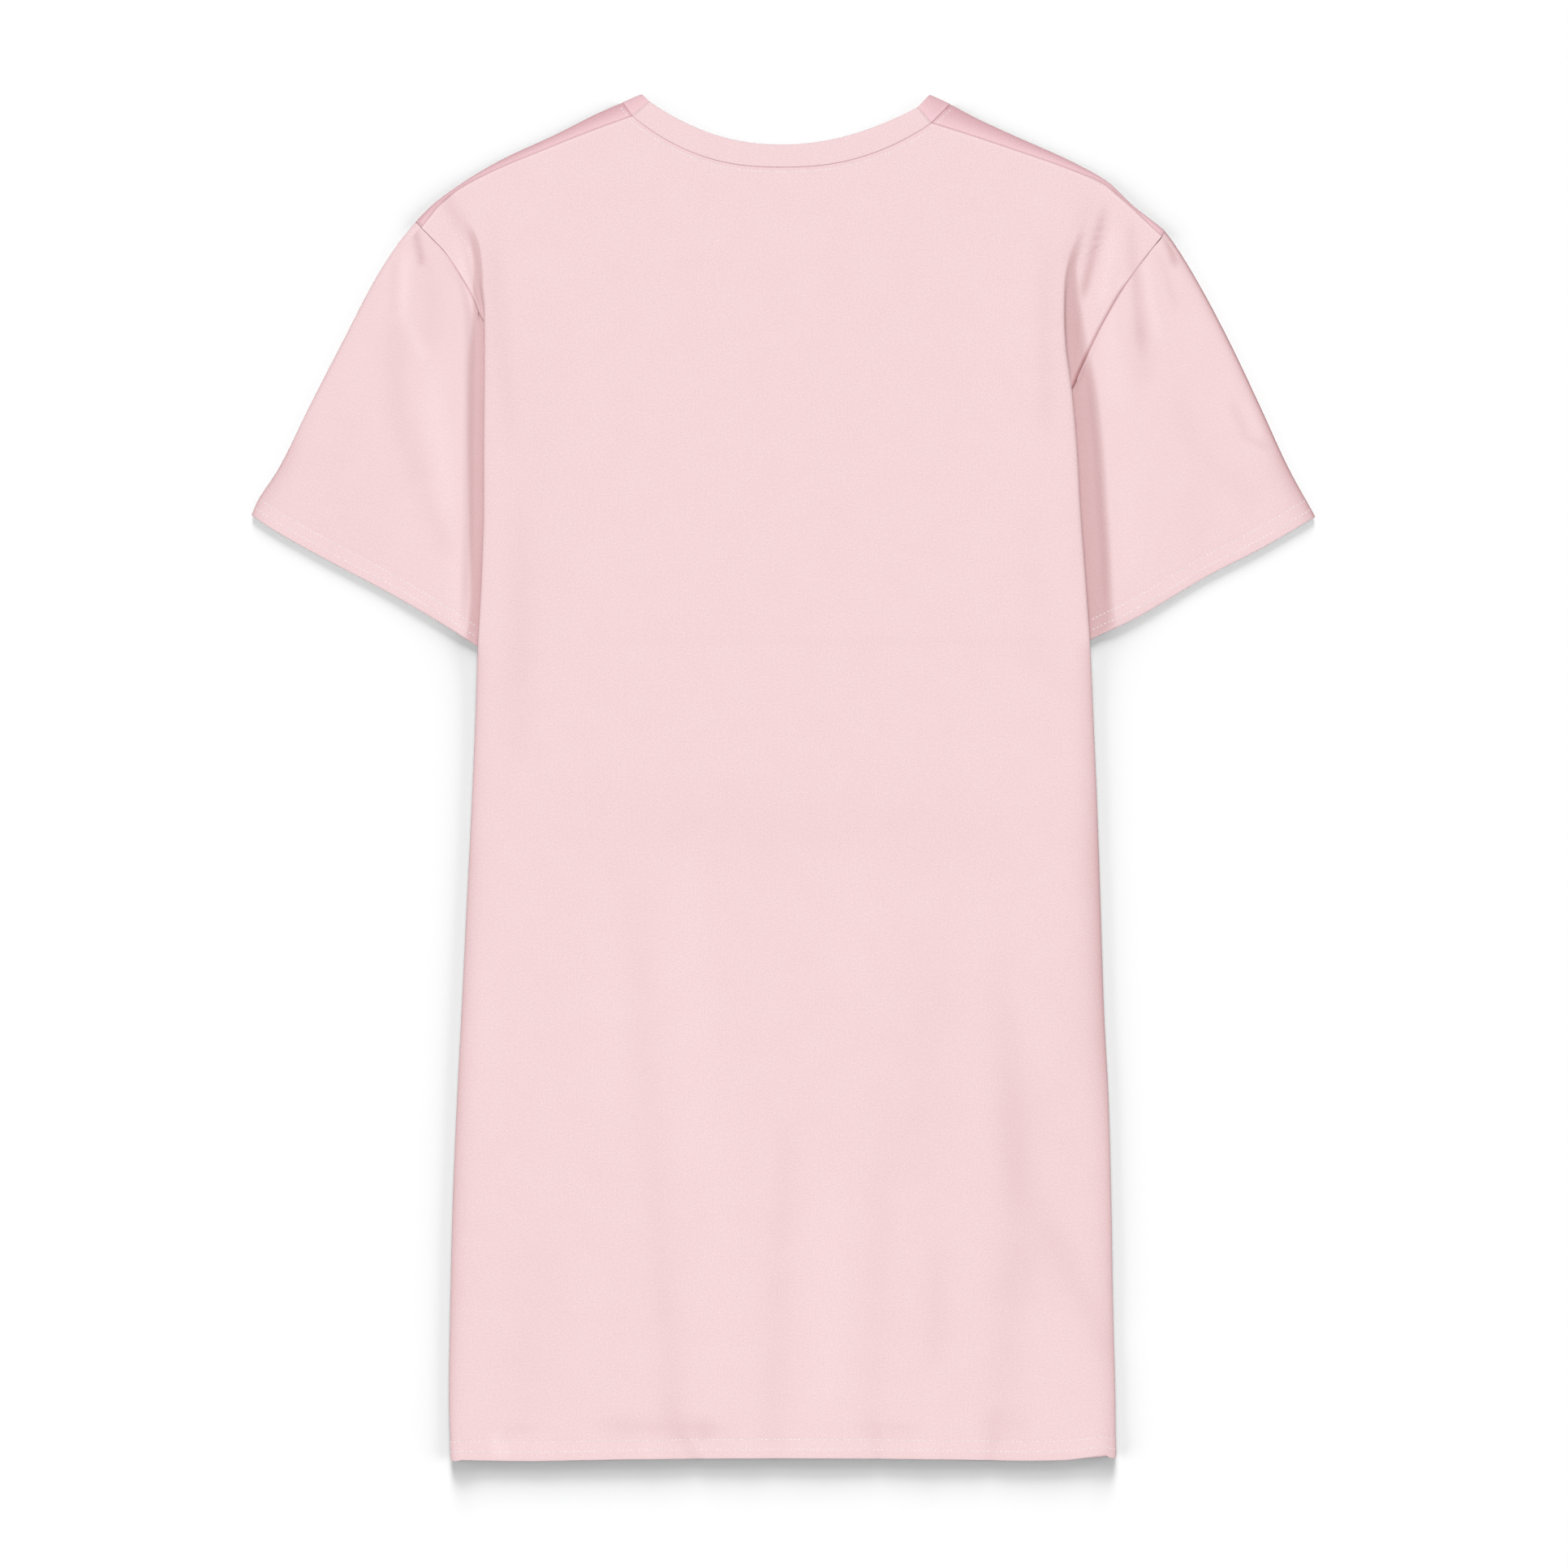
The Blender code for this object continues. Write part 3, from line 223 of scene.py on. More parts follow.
HEM_PUCKERS = fold_rows(
    ("first", -104, -400, -98, -417, 9, -0.4, 0.06),
    ("second", -76, -392, -62, -417, 7, -0.8, 0.10),
    ("third", -52, -404, -48, -418, 6, -0.6, 0.20),
    ("fourth", 54, -398, 60, -418, 6, -0.7, 0.06),
    ("fifth", 137, -398, 134, -418, 5, -0.7, 0.05),
    ("left puff in the hem", -184, -414, -175, -430, 4.5, 0.6, -0.20),
    ("left side puff in the hem", -150, -416, -146, -431, 8, 0.4, -0.06),
    ("left dip in the hem", -66, -413, -53, -433, 4, -0.7, 0.20),
    ("left inner puff in the hem", -86, -417, -82, -432, 7, 0.4, -0.06),
    ("middle puff in the hem", -22, -416, -20, -432, 10, 0.4, -0.05),
    ("right puff in the hem", 24, -415, 25, -432, 14, 0.4, -0.07),
    ("right dip in the hem", 58, -413, 61, -433, 3.6, -0.7, 0.16),
    ("right outer puff in the hem", 90, -416, 92, -432, 8, 0.5, -0.07),
    ("right outer dip in the hem", 134, -413, 131, -433, 4, -0.7, 0.16),
)
HEM_LOFT = 1.0                          # how far the hem stands off the ground
CUFF_EDGE, CUFF_SLOPE = 1.3, 30.0       # middle height of a cuff's edge, and width that falls to it
SLEEVE_FOLDS = {
    "left": fold_rows(
        ("cap gather", -233.8, 351, -228, 324, 2.6, -1.2, 0.72),
        ("cap hollow", -225, 334, -221, 274, 8.5, -0.6, 0.14),
        ("cap ridge", -238.5, 336, -240, 288, 3.6, 0.8, -0.22),
        ("cap ridge end", -238.5, 289, -226, 264, 4, 0.5, -0.12),
        ("cap crease", -246, 330, -246.5, 294, 3, -0.4, 0.12),
        ("long trough", -246, 300, -243.5, 222, 8.5, -0.8, 0.17),
        ("long trough middle", -243.5, 226, -228, 186, 9, -0.8, 0.17),
        ("long trough end", -230, 190, -211, 140, 7, -0.7, 0.15),
        ("swell beside the ditch", -222, 262, -210, 160, 9.5, 0.5, -0.15),
        ("lower swell beside it", -209, 160, -204, 92, 6.5, 0.4, -0.12),
        ("outer hollow", -300, 240, -262, 135, 32, 0, 0.06)),
    "right": fold_rows(
        ("cap gather", 220.5, 345, 227.5, 269, 3.6, -1.2, 0.42),
        ("cap gather tail", 227, 292, 228, 250, 8, -0.5, 0.14),
        ("cap ridge", 227, 336, 238, 276, 4, 0.7, -0.16),
        ("tip gather", 240.5, 348, 248, 324, 2.6, -0.8, 0.75),
        ("second gather", 238, 332, 249, 296, 2.6, -0.5, 0.18),
        ("long trough", 249, 242, 271, 194, 9, -0.7, 0.10),
        ("long trough end", 272, 196, 302, 172, 10, -0.5, 0.09),
        ("lower hollow", 266, 200, 258, 130, 12, 0, 0.06),
        ("elbow crease", 282.5, 240, 294, 213, 2.8, -0.7, 0.20),
        ("elbow crease end", 293.5, 214.5, 306, 209, 2.6, -0.6, 0.22),
        ("elbow ridge", 290, 240, 303, 217, 3, 0.5, -0.10),
        ("swell beside the ditch", 202, 312, 212, 235, 8, 0.4, -0.13),
        ("lower swell beside it", 213, 245, 224, 110, 11, 0.3, -0.05)),
}
# Soft unevenness of laid cloth: size of a wave, and its height.
UNEVEN = ((70, 0.30), (26, 0.13), (11, 0.05))
# Painted shade on the cloth in the ditch beside the body: start, end of the floor and end of the
# bank, from the silhouette outwards, and how deep the painted shade is.
Ditch = namedtuple("Ditch", "y start floor bank depth")
DITCH_SHADE = {
    "left": ((80, -0.6, 3.6, 11, 0.5), (88, -0.6, 4.2, 11.5, 1), (97, -0.5, 4.8, 8.4, 1.05),
             (112, -0.6, 4.4, 8.2, 1.05), (159, -0.5, 7, 11, 0.94),
             (236, -0.6, 7.4, 13.2, 0.88), (261, -0.5, 7, 13.4, 0.84),
             (287, -0.6, 5, 10.2, 0.84), (308, -2, 2.6, 7.2, 0.9),
             (328, -2, 1.4, 5, 0.9), (339, -1.8, 1.2, 5.4, 0.85),
             (349, -1.5, 1.4, 7, 0.38), (360, -1, 2, 7, 0)),
    "right": ((80, -0.4, 0.8, 7, 0.4), (88, -0.4, 2.5, 9, 0.9), (97, -0.3, 9.8, 21, 1.1),
              (112, -0.3, 11.2, 19.5, 1.1), (159, 0.2, 12.8, 20.4, 1.06),
              (236, 0.2, 10.4, 20.2, 1.06), (261, -0.2, 9.2, 18.2, 1.06),
              (287, -1.1, 7.8, 14.4, 1.12), (308, -1.2, 5, 11, 1.1),
              (328, -1.2, 2.3, 6.2, 1), (339, -1.2, 1.2, 5.2, 0.7),
              (349, -1.3, 0.6, 3, 0.28), (357, -1.3, 0.6, 3, 0)),
}
# Depth and width of the painted shade along the rolled sides and the sleeves' folded edges.
Rim = namedtuple("Rim", "y depth width")
EDGE_SHADE = {
    "left": ((76, 0.9, 2.4), (0, 1, 2.9), (-60, 1.05, 3.6), (-300, 1.15, 3.9),
             (-425, 0.9, 2.4)),
    "right": ((76, 0.95, 4.2), (0, 1.15, 5.2), (-60, 1.5, 6.2), (-160, 1.4, 6.2),
              (-230, 1.1, 5), (-425, 0.95, 4.6)),
}
SLEEVE_EDGE_SHADE = {
    "left": ((345, 0.15, 1.2), (280, 0.4, 1.4), (225, 0.45, 2), (196, 0.8, 4),
             (165, 0.8, 4)),
    "right": ((345, 1.5, 1.9), (250, 1.5, 2), (218, 1.5, 2.8), (190, 1.35, 4.8),
              (165, 1.2, 4.6)),
}
# Painted shade: how far the colour is darkened in a seam's groove and on the shoulders' folded edge.
SEAM_SHADE = 0.75               # in the groove of a seam
FOLD_SHADE = 1.2                # on the shoulders' folded edge

# ---- grids ----
BODY_STEP = 5.0                 # between rows of the body
ARM_STEPS = 84                  # rows from the underarm to the shoulder
FLAT_COLUMNS = (36, 60, 36)     # columns of the back: shoulder, neck, shoulder
EDGE_STEPS = (13, 13, 4, 2, 2, 3, 3, 3)     # parts of each step of a rolled edge
TOP_SHARES = (0.2, 0.4, 0.6, 0.78, 0.825, 0.857, 0.882, 0.92, 0.96, 0.98)   # rows below the top edge
SOFT_ROWS, SOFT_PASSES = 24, 30             # rows below the top edge that soften() works on
ROLL_PARTS = 4                  # steps of a folded edge below its outline, and above it
HIDDEN_STEP = 0.25              # between rows of a sleeve under the pleat, in armhole rows
FINE_STEPS, FINE_SHARE = 24, 0.17           # rows across the ditch, and their share of the cuff
WIDE_STEPS = 56                 # rows across the rest of the sleeve
EDGE_ROWS = 24                  # of those, rows beside the folded edge that its shade reaches
# Rings of a sleeve: from its armhole seam, between, and from the cuff's edge.
SEAM_RINGS = (0.0, 0.4, 1.0, 1.9, 3.4, 6.0)
SLEEVE_RINGS = 68
CUFF_RINGS = (15.0, 13.4, CUFF_STITCH[1], 9.5, 7.4, CUFF_STITCH[0], 3.6, 2.0, 1.0, 0.45, 0.15, 0.0)
RIB_COLUMNS, FRONT_RIB_COLUMNS = 90, 80

# ---- look ----
# Painted shade: open cloth's colour is mixed towards SHADED where the shade attribute is 1, and lightened
# past it where that is below 0.
SHADED = (0.79, 0.71, 0.712)    # colour of the deepest shade, as a share of open cloth's
PALE_PINK = (0.838, 0.624, 0.640)
DEEP_PINK = (0.838, 0.570, 0.612)
DARK_GRAIN, LIGHT_GRAIN = (0.955, 0.915, 0.92), (1.04, 1.07, 1.065)     # tints of the knit's grain
RIB_WAVE = 52.0                 # radians of the rib's wave in a centimetre
THREAD_WHITE = (0.98, 0.965, 0.96)
THREAD_SHADE = 0.74             # of its dark parts
# Share of a lamp's light on level ground, its spread in degrees, the direction towards it, and what
# it falls on. Light that goes past the sleeves is stopped by the back and the front alone.
AMBIENT = 0.48
Lamp = namedtuple("Lamp", "name share spread towards falls_on")
LAMPS = (Lamp("ceiling", 0.62, 40.0, (-0.08, 0.08, 1.0), "all"),
         Lamp("low window", 2.41, 20.0, (0.0, 0.961, 0.276), "paper"),
         Lamp("high window", 1.24, 26.0, (0.0, 0.857, 0.515), "paper, past the sleeves"),
         Lamp("left wall", 1.06, 52.0, (-0.982, -0.060, 0.174), "paper, past the sleeves"),
         Lamp("right wall", 1.06, 52.0, (0.982, -0.060, 0.174), "paper, past the sleeves"))
PAPER = 0.1409                  # grey of the paper
CAMERA_AT = (0.5, -3.9, 3000.0)
FRAME_WIDTH = 993.0             # of the ground that the camera sees
SENSOR = 36.0


# ==== small tools ====
def smooth(low, high, value):
    """0 below low, 1 above high and a soft step between."""
    t = np.clip((value - low) / (high - low), 0.0, 1.0)
    return t * t * (3.0 - 2.0 * t)


def mix(a, b, t):
    """a at t = 0 and b at t = 1."""
    return a + (b - a) * t


def unit(vector):
    return vector / max(np.linalg.norm(vector), 1e-9)


class Curve:
    """Smooth curve through the rows of a short table, which never overshoots them."""

    def __init__(self, keys, values):
        self.xs, self.ys = np.array(keys, dtype=float), np.array(values, dtype=float)
        if self.xs[0] > self.xs[-1]:
            self.xs, self.ys = self.xs[::-1], self.ys[::-1]
        steps = np.diff(self.xs)
        rates = np.diff(self.ys) / steps
        self.slopes = np.zeros(len(self.xs))
        self.slopes[0], self.slopes[-1] = rates[0], rates[-1]
        for i in range(1, len(self.xs) - 1):
            if rates[i - 1] * rates[i] > 0.0:
                near = 2.0 * steps[i] + steps[i - 1]
                far = steps[i] + 2.0 * steps[i - 1]
                self.slopes[i] = (near + far) / (near / rates[i - 1] + far / rates[i])

    def __call__(self, value):
        value = np.clip(value, self.xs[0], self.xs[-1])
        i = np.clip(np.searchsorted(self.xs, value, side="right") - 1, 0, len(self.xs) - 2)
        step = self.xs[i + 1] - self.xs[i]
        t = (value - self.xs[i]) / step
        return ((2 * t**3 - 3 * t**2 + 1) * self.ys[i] + (t**3 - 2 * t**2 + t) * self.slopes[i] * step
                + (3 * t**2 - 2 * t**3) * self.ys[i + 1] + (t**3 - t**2) * self.slopes[i + 1] * step)


def column(table, index, key=0):
    """Curve through one column of a table, over the values of its key column."""
    return Curve([row[key] for row in table], [row[index] for row in table])


SIDES = ("left", "right")
EDGE_X = {side: column(EDGE, EDGE_COLUMNS.index(side)) for side in SIDES}
ARMHOLE_X = {side: column(ARMHOLE, EDGE_COLUMNS.index(side)) for side in SIDES}
DITCH_Z = {side: column(CREST, CREST_COLUMNS.index(side)) for side in SIDES}
CREST_Z = column(CREST, CREST_COLUMNS.index("crest"))
TUCK_WIDTH = column(TUCK, 1)
SEAM_Y = {side: column(SHOULDER_SEAM[side], 1) for side in SIDES}
FOLD_Y = {side: column(SHOULDER_FOLD[side], 1) for side in SIDES}
SLEEVE_FOLD_X = {side: column(SLEEVE_FOLD[side], 0, key=1) for side in SIDES}
CUFF_Y = {side: column(CUFF[side], 1) for side in SIDES}
HEM_AT = column(HEM_LINE, 1)
SHADE_AT = {side: {name: column(DITCH_SHADE[side], Ditch._fields.index(name))
                   for name in Ditch._fields[1:]} for side in SIDES}


def outward(side):
    """Sign of x on a side of the dress."""
    return -1.0 if side == "left" else 1.0


def folds_at(x, y, folds, quality="height"):
    """Sum of the soft ridges and troughs at some points; each fades out at both ends."""
    total = np.zeros(np.broadcast(x, y).shape)
    for fold in folds:
        length = math.hypot(fold.x1 - fold.x0, fold.y1 - fold.y0)
        ux, uy = (fold.x1 - fold.x0) / length, (fold.y1 - fold.y0) / length
        along = (x - fold.x0) * ux + (y - fold.y0) * uy
        across = (x - fold.x0) * uy - (y - fold.y0) * ux
        ends = smooth(-0.12 * length, 0.3 * length, along)
        ends = ends * (1.0 - smooth(0.85 * length, 1.12 * length, along))
        total = total + getattr(fold, quality) * ends * np.exp(-(across / fold.half_width) ** 2)
    return total


def unevenness(x, y):
    """Slight waves of cloth that was laid down and smoothed by hand."""
    total = 0.0
    for size, height in UNEVEN:
        total += height * noise.noise(Vector((x / size, y / (1.6 * size), size)))
    return total


def edge_shade(distance, rims, y):
    """Painted shade at a distance inside a rolled or folded edge."""
    depth, width = (column(rims, Rim._fields.index(name))(y) for name in ("depth", "width"))
    distance = np.maximum(distance, 0.0)
    return depth * np.exp(-distance / width) + 0.4 * depth * np.exp(-distance / 0.5)


def hem_shade(distance):
    """Painted highlight on a turned-up hem between its stitches, and painted shade just above them, where it
    is pulled in.
    """
    between = smooth(4.2, 6.4, distance) * (1.0 - smooth(10.8, 12.6, distance))
    return 0.05 * np.exp(-((distance - 13.8) / 1.2) ** 2) - 0.04 * between


def cloth_shade(x, y, folds):
    """Painted shade from 0 on open cloth to 1 in the deepest fold, at some points of the upper side; below 0
    it is a painted highlight.
    """
    shade = folds_at(x, y, folds, "shade")
    for side in SIDES:
        away = (x - EDGE_X[side](y)) * outward(side)
        at = SHADE_AT[side]
        ditch = smooth(at["start"](y) - 1.2, at["start"](y) + 0.6, away)
        ditch = ditch * (1.0 - smooth(at["floor"](y), at["bank"](y), away))
        ditch = ditch * at["depth"](y) * smooth(78.0, 88.0, y)
        body = (away < 2.0) * (1.0 - smooth(330.0, 345.0, y))
        low = 1.0 - smooth(76.0, 90.0, y)
        shade = mix(shade, np.maximum(shade, ditch), np.minimum(2.0 * ditch, 1.0))
        shade = shade + body * low * edge_shade(-away, EDGE_SHADE[side], y)
        shade = shade + body * (1.0 - low) * (1.0 - ditch) * 0.2 * np.exp(np.minimum(away, 0.0) / 3.0)
    return shade


# ==== form, as in the solids ====
def shoulder_tip(side):
    """Outer end of a shoulder seam, where the armhole seam ends."""
    return SHOULDER_SEAM[side][0 if side == "left" else -1]


def armhole_top(side):
    return shoulder_tip(side)[1]


def armhole_y(side, row):
    """y of an armhole row, from the underarm (0) to the shoulder (ARMHOLE_ROWS)."""
    return mix(UNDERARM_Y, armhole_top(side), row / ARMHOLE_ROWS)


def seam_x(side, y):
    """Sewn edge of the panels: side seam up to the underarm, then the armhole."""
    if y < UNDERARM_Y:
        return float(EDGE_X[side](y) - outward(side) * TUCK_WIDTH(y))
    if y >= armhole_top(side) - 0.001:
        return SHOULDER_ENDS[side][0]
    return float(ARMHOLE_X[side](y))


def neck_curve(shape, x):
    """Height on the sheet of the back's neckline or of its rib's free edge."""
    tip_x, tip_y, power = shape["left" if x < 0.0 else "right"]
    return shape["low"] + (tip_y - shape["low"]) * abs(x / tip_x) ** power


def front_neck(shape, t):
    """Point of the front neckline or of its rib's free edge, from the left tip (0) to the right (1)."""
    tip_x, tip_y = shape["left" if t < 0.5 else "right"]
    angle = math.pi * t
    return np.array((abs(tip_x) * -math.cos(angle), mix(tip_y, shape["low"], math.sin(angle))))


def back_height(x, y):
    """Middle height of the back panel away from its rolled edges."""
    inside = np.minimum(x - EDGE_X["left"](y), EDGE_X["right"](y) - x)
    pleat = smooth(*PLEAT_SPAN[:2], y) * (1.0 - smooth(*PLEAT_SPAN[2:], y))
    start, end = [mix(beside_edge, beside_pleat, pleat) for beside_edge, beside_pleat
                  in zip(EDGE_BANK, PLEAT_BANK)]
    height = mix(CREST_Z(y), OPEN_HEIGHT, smooth(start, end, inside))
    height = height + folds_at(x, y, FOLDS)
    reach = np.hypot(x / SAG_HALF_WIDTH, (y - SAG_Y) / SAG_HALF_LENGTH)
    height = height - NECK_SAG * (1.0 - smooth(0.45, 1.15, reach)) * smooth(300.0, 345.0, y)
    hem = (1.0 - smooth(HEM_Y + 10.0, HEM_Y + 30.0, y)) * smooth(8.0, 25.0, inside)
    height = mix(height, HEM_HEIGHT, 0.65 * hem)
    shoulder = smooth(330.0, 400.0, y + 0.28 * np.abs(x))
    return np.maximum(mix(height, np.minimum(height, SHOULDER_TOP), shoulder), SECOND + 0.35)


def ellipse_steps(outer, inner, low, high, angles):
    """Points of a quarter ellipse, as (distance inside the silhouette, height)."""
    return [(inner - (inner - outer) * math.sin(math.radians(a)),
             low + (high - low) * math.cos(math.radians(a))) for a in angles]


ROLL = 3.4                      # how far inside the silhouette the body starts to round off
TURN = 2.6                      # where the cloth that turned under lies flat again
END_LAP = 3.4                   # how far the back's side seam laps over the front's


def edge_section(side, y):
    """Rolled edge of the back at a row: (distance inside the silhouette, middle height)."""
    edge = float(EDGE_X[side](y))
    seam = (edge - seam_x(side, y)) * outward(side)
    top = float(back_height(edge - outward(side) * ROLL, y))
    skin = SOLID_WALL / 2
    near = 1.0 - smooth(2.5, 7.0, abs(seam))
    if y < 52.0:
        under = SOLID_WALL + 0.4
        middle = mix(under, top, 0.4)
        tail = [(skin + 0.3, under), (skin + 0.1, mix(under, middle, 0.3)),
                (skin, mix(under, middle, 0.6))]
        corner = (skin, mix(under, middle, 0.8))
    elif seam > 0.0:
        under = mix(SECOND, THIRD, smooth(52.0, 74.0, y))
        if y < UNDERARM_Y + 16.0:
            last, bend = seam + END_LAP, seam + 0.8
            last_z = SECOND if y < UNDERARM_Y + 4.0 else THIRD
        else:
            last, last_z, bend = seam, THIRD, max(seam - 3.2, 0.75 * seam)
        turn = mix(min(TURN, 0.5 * bend), 0.95, near)
        middle = (top + under) / 2
        tail = [(mix(last, 1.7, near), last_z), (mix(bend, 1.35, near), under + 0.5 * near),
                (turn, under + near)]
        corner = (mix(skin, turn, 0.29), mix(middle, under + near, 0.71))
    else:
        ditch = float(DITCH_Z[side](y))
        turn = -min(3.0, mix(0.45, 0.2, near) * -seam)
        rise = smooth(0.0, 26.0, -seam) * (1.0 - smooth(328.0, 349.0, y))
        last_z = mix(THIRD, SHOULDER_TOP, smooth(2.0, 24.0, -seam)) + 0.7 * rise
        middle = (top + ditch) / 2
        tail = [(seam, last_z),
                (mix(turn, seam, 0.45), mix(ditch, last_z, 0.72) + 0.5 * rise + 0.4 * near),
                (turn, ditch + 0.8 * near)]
        corner = (mix(skin, turn, 0.29), mix(middle, ditch + 0.8 * near, 0.71))
    return tail + [corner] + ellipse_steps(skin, ROLL, middle, top, (90.0, 60.0, 30.0, 0.0))


def hem_loft(y):
    """The turned-up hem stands a little off the ground."""
    return HEM_LOFT * (1.0 - smooth(HEM_Y + HEM_TURN, HEM_Y + 40.0, y))


def hem_shift(x, y):
    """How far a point near the hem is moved to follow the hem's own line."""
    return (HEM_AT(x) - HEM_Y) * (1.0 - smooth(HEM_Y, HEM_Y + 70.0, y))


# ==== meshes ====
def lengths(line, least=0.0):
    """Length along a line up to each of its points."""
    return np.concatenate([[0.0], np.cumsum(np.linalg.norm(np.diff(line, axis=0), axis=1) + least)])


def refine(points, parts):
    """A smooth line through some points, each step of it cut in its number of parts."""
    points = np.array(points, dtype=float)
    reach = lengths(points, 1e-6)
    at = [mix(reach[k], reach[k + 1], i / count) for k, count in enumerate(parts) for i in range(count)]
    at = np.array(at + [reach[-1]])
    return np.stack([Curve(reach, points[:, k])(at) for k in range(points.shape[1])], axis=1)


def grid_normals(grid, ring=False):
    """Normals of a grid of middle points by central differences."""
    along = np.empty_like(grid)
    along[1:-1] = grid[2:] - grid[:-2]
    along[0], along[-1] = grid[1] - grid[0], grid[-1] - grid[-2]
    if ring:
        across = np.roll(grid, -1, axis=1) - np.roll(grid, 1, axis=1)
    else:
        across = np.empty_like(grid)
        across[:, 1:-1] = grid[:, 2:] - grid[:, :-2]
        across[:, 0], across[:, -1] = grid[:, 1] - grid[:, 0], grid[:, -1] - grid[:, -2]
    normals = np.cross(across, along)
    return normals / np.maximum(np.linalg.norm(normals, axis=2, keepdims=True), 1e-9)


def grid_quads(rows, columns, ring=False, keep=None):
    """Faces of a grid of points, closed round its columns if it is a ring."""
    quads = []
    for i in range(rows - 1):
        for j in range(columns if ring else columns - 1):
            if keep is None or keep(i, j):
                k = (j + 1) % columns
                quads.append((i * columns + j, i * columns + k,
                              (i + 1) * columns + k, (i + 1) * columns + j))
    return quads


def add_object(name, data):
    """Object in the scene with some mesh, lamp or camera."""
    thing = bpy.data.objects.new(name, data)
    bpy.context.scene.collection.objects.link(thing)
    return thing


def to_mesh(name, points, faces, uvs=None, shade=None):
    """Mesh object from points and uvs in millimetres; the uvs are kept in centimetres."""
    used = sorted({corner for face in faces for corner in face})
    place = {old: new for new, old in enumerate(used)}
    mesh = bpy.data.meshes.new(name)
    mesh.from_pydata((np.asarray(points)[used] * MM).tolist(), [],
                     [[place[corner] for corner in face] for face in faces])
    if uvs is not None:
        layer = mesh.uv_layers.new(name="cloth")
        corners = np.empty(len(mesh.loops), dtype=np.int64)
        mesh.loops.foreach_get("vertex_index", corners)
        layer.data.foreach_set("uv", (np.asarray(uvs)[used][corners] / 10.0).ravel())
    # Painted shade kept on the points: darker in folds, ditches, seams and along edges, lighter on ridges.
    if shade is not None:
        mesh.attributes.new("shade", "FLOAT", "POINT").data.foreach_set("value", shade[used])
    mesh.shade_smooth()
    return add_object(name, mesh)


def shell(name, grid, walls, normals, shade, uvs=None, ring=False, keep=None):
    """Closed thin shell round a grid of middle points; the painted shade is that of its outer side."""
    half = np.asarray(walls)[..., None] / 2
    outer = (grid + normals * half).reshape(-1, 3)
    inner = (grid - normals * half).reshape(-1, 3)
    count = len(outer)
    quads = grid_quads(*grid.shape[:2], ring, keep)
    edges = {pair: None for quad in quads for pair in zip(quad, quad[1:] + quad[:1])}
    faces = quads + [tuple(corner + count for corner in reversed(quad)) for quad in quads]
    faces += [(b, a, a + count, b + count) for a, b in edges if (b, a) not in edges]
    uvs = (grid[..., :2] if uvs is None else uvs).reshape(-1, 2)
    shades = np.concatenate([shade.ravel(), np.zeros(count)])
    piece = to_mesh(name, np.vstack([outer, inner]), faces, np.vstack([uvs, uvs]), shades)
    return piece, outer.reshape(grid.shape)


def hem_wall(distance, turned=HEM_WALL):
    """Wall at a distance from a hem's folded edge, rounded off at the edge itself."""
    wall = mix(turned, WALL, smooth(HEM_TURN - 0.4, HEM_TURN + 0.4, distance))
    return wall * np.sqrt(1.0 - (1.0 - np.clip(distance, 0.04, 1.0)) ** 2)


# ==== back ====
def back_top():
    """Top edge of the back between its rolled ends: shoulder seam, neckline, shoulder seam."""
    left, neck, right = FLAT_COLUMNS
    xs = np.linspace(SHOULDER_ENDS["left"][2], NECK_SEAM["left"][0], left + 1)[:-1]
    points = [(x, float(SEAM_Y["left"](x))) for x in xs]
    xs = np.linspace(NECK_SEAM["left"][0], NECK_SEAM["right"][0], neck + 1)
    points += [(x, neck_curve(NECK_SEAM, x)) for x in xs]
    xs = np.linspace(NECK_SEAM["right"][0], SHOULDER_ENDS["right"][2], right + 1)[1:]
    return np.array(points + [(x, float(SEAM_Y["right"](x))) for x in xs])


def row_points(left, right, share, top):
    """Flat points of a row: evenly spread low down, and as the top edge is higher up."""
    count = len(top) - 1
    ease = smooth(0.0, 0.75, share)
    stops = (0, FLAT_COLUMNS[0], FLAT_COLUMNS[0] + FLAT_COLUMNS[1], count)
    xs = [mix(mix(left[0], right[0], k / count), top[k][0], ease) for k in stops]
    xs[0], xs[-1] = left[0], right[0]
    result = np.empty((count + 1, 2))
    for first, last, low, high in zip(stops, stops[1:], xs, xs[1:]):
        k = np.arange(first, last + 1)
        along = (top[k, 0] - top[first, 0]) / (top[last, 0] - top[first, 0])
        result[k, 0] = mix(low, high, mix((k - first) / (last - first), along, ease))
    result[:, 1] = mix(UNDERARM_Y, top[:, 1], share) if share > 0.0 else left[1]
    for end, steps in ((left, np.arange(count + 1)), (right, np.arange(count, -1, -1))):
        result[:, 1] = mix(end[1], result[:, 1], smooth(-1.0, 11.0, steps))
    for side, end in (("left", left), ("right", right)):
        bow = EDGE_X[side](result[:, 1]) - EDGE_X[side](end[1])
        result[:, 0] += bow * (1.0 - smooth(4.0, 60.0, np.abs(result[:, 0] - end[0])))
    return result[1:-1]


def body_rows():
    """Rows of the body from the hem up, with rows under the stitches and at the turned edge."""
    near = [0.0, 0.15, 0.45, 1.0, 2.2, 4.0, HEM_STITCH[0], 7.8, 10.0, HEM_STITCH[1], 13.4, 15.5]
    rows = [HEM_Y + d for d in near]
    count = round((UNDERARM_Y - rows[-1]) / BODY_STEP)
    return rows + [mix(rows[-1], UNDERARM_Y, k / count) for k in range(1, count)]


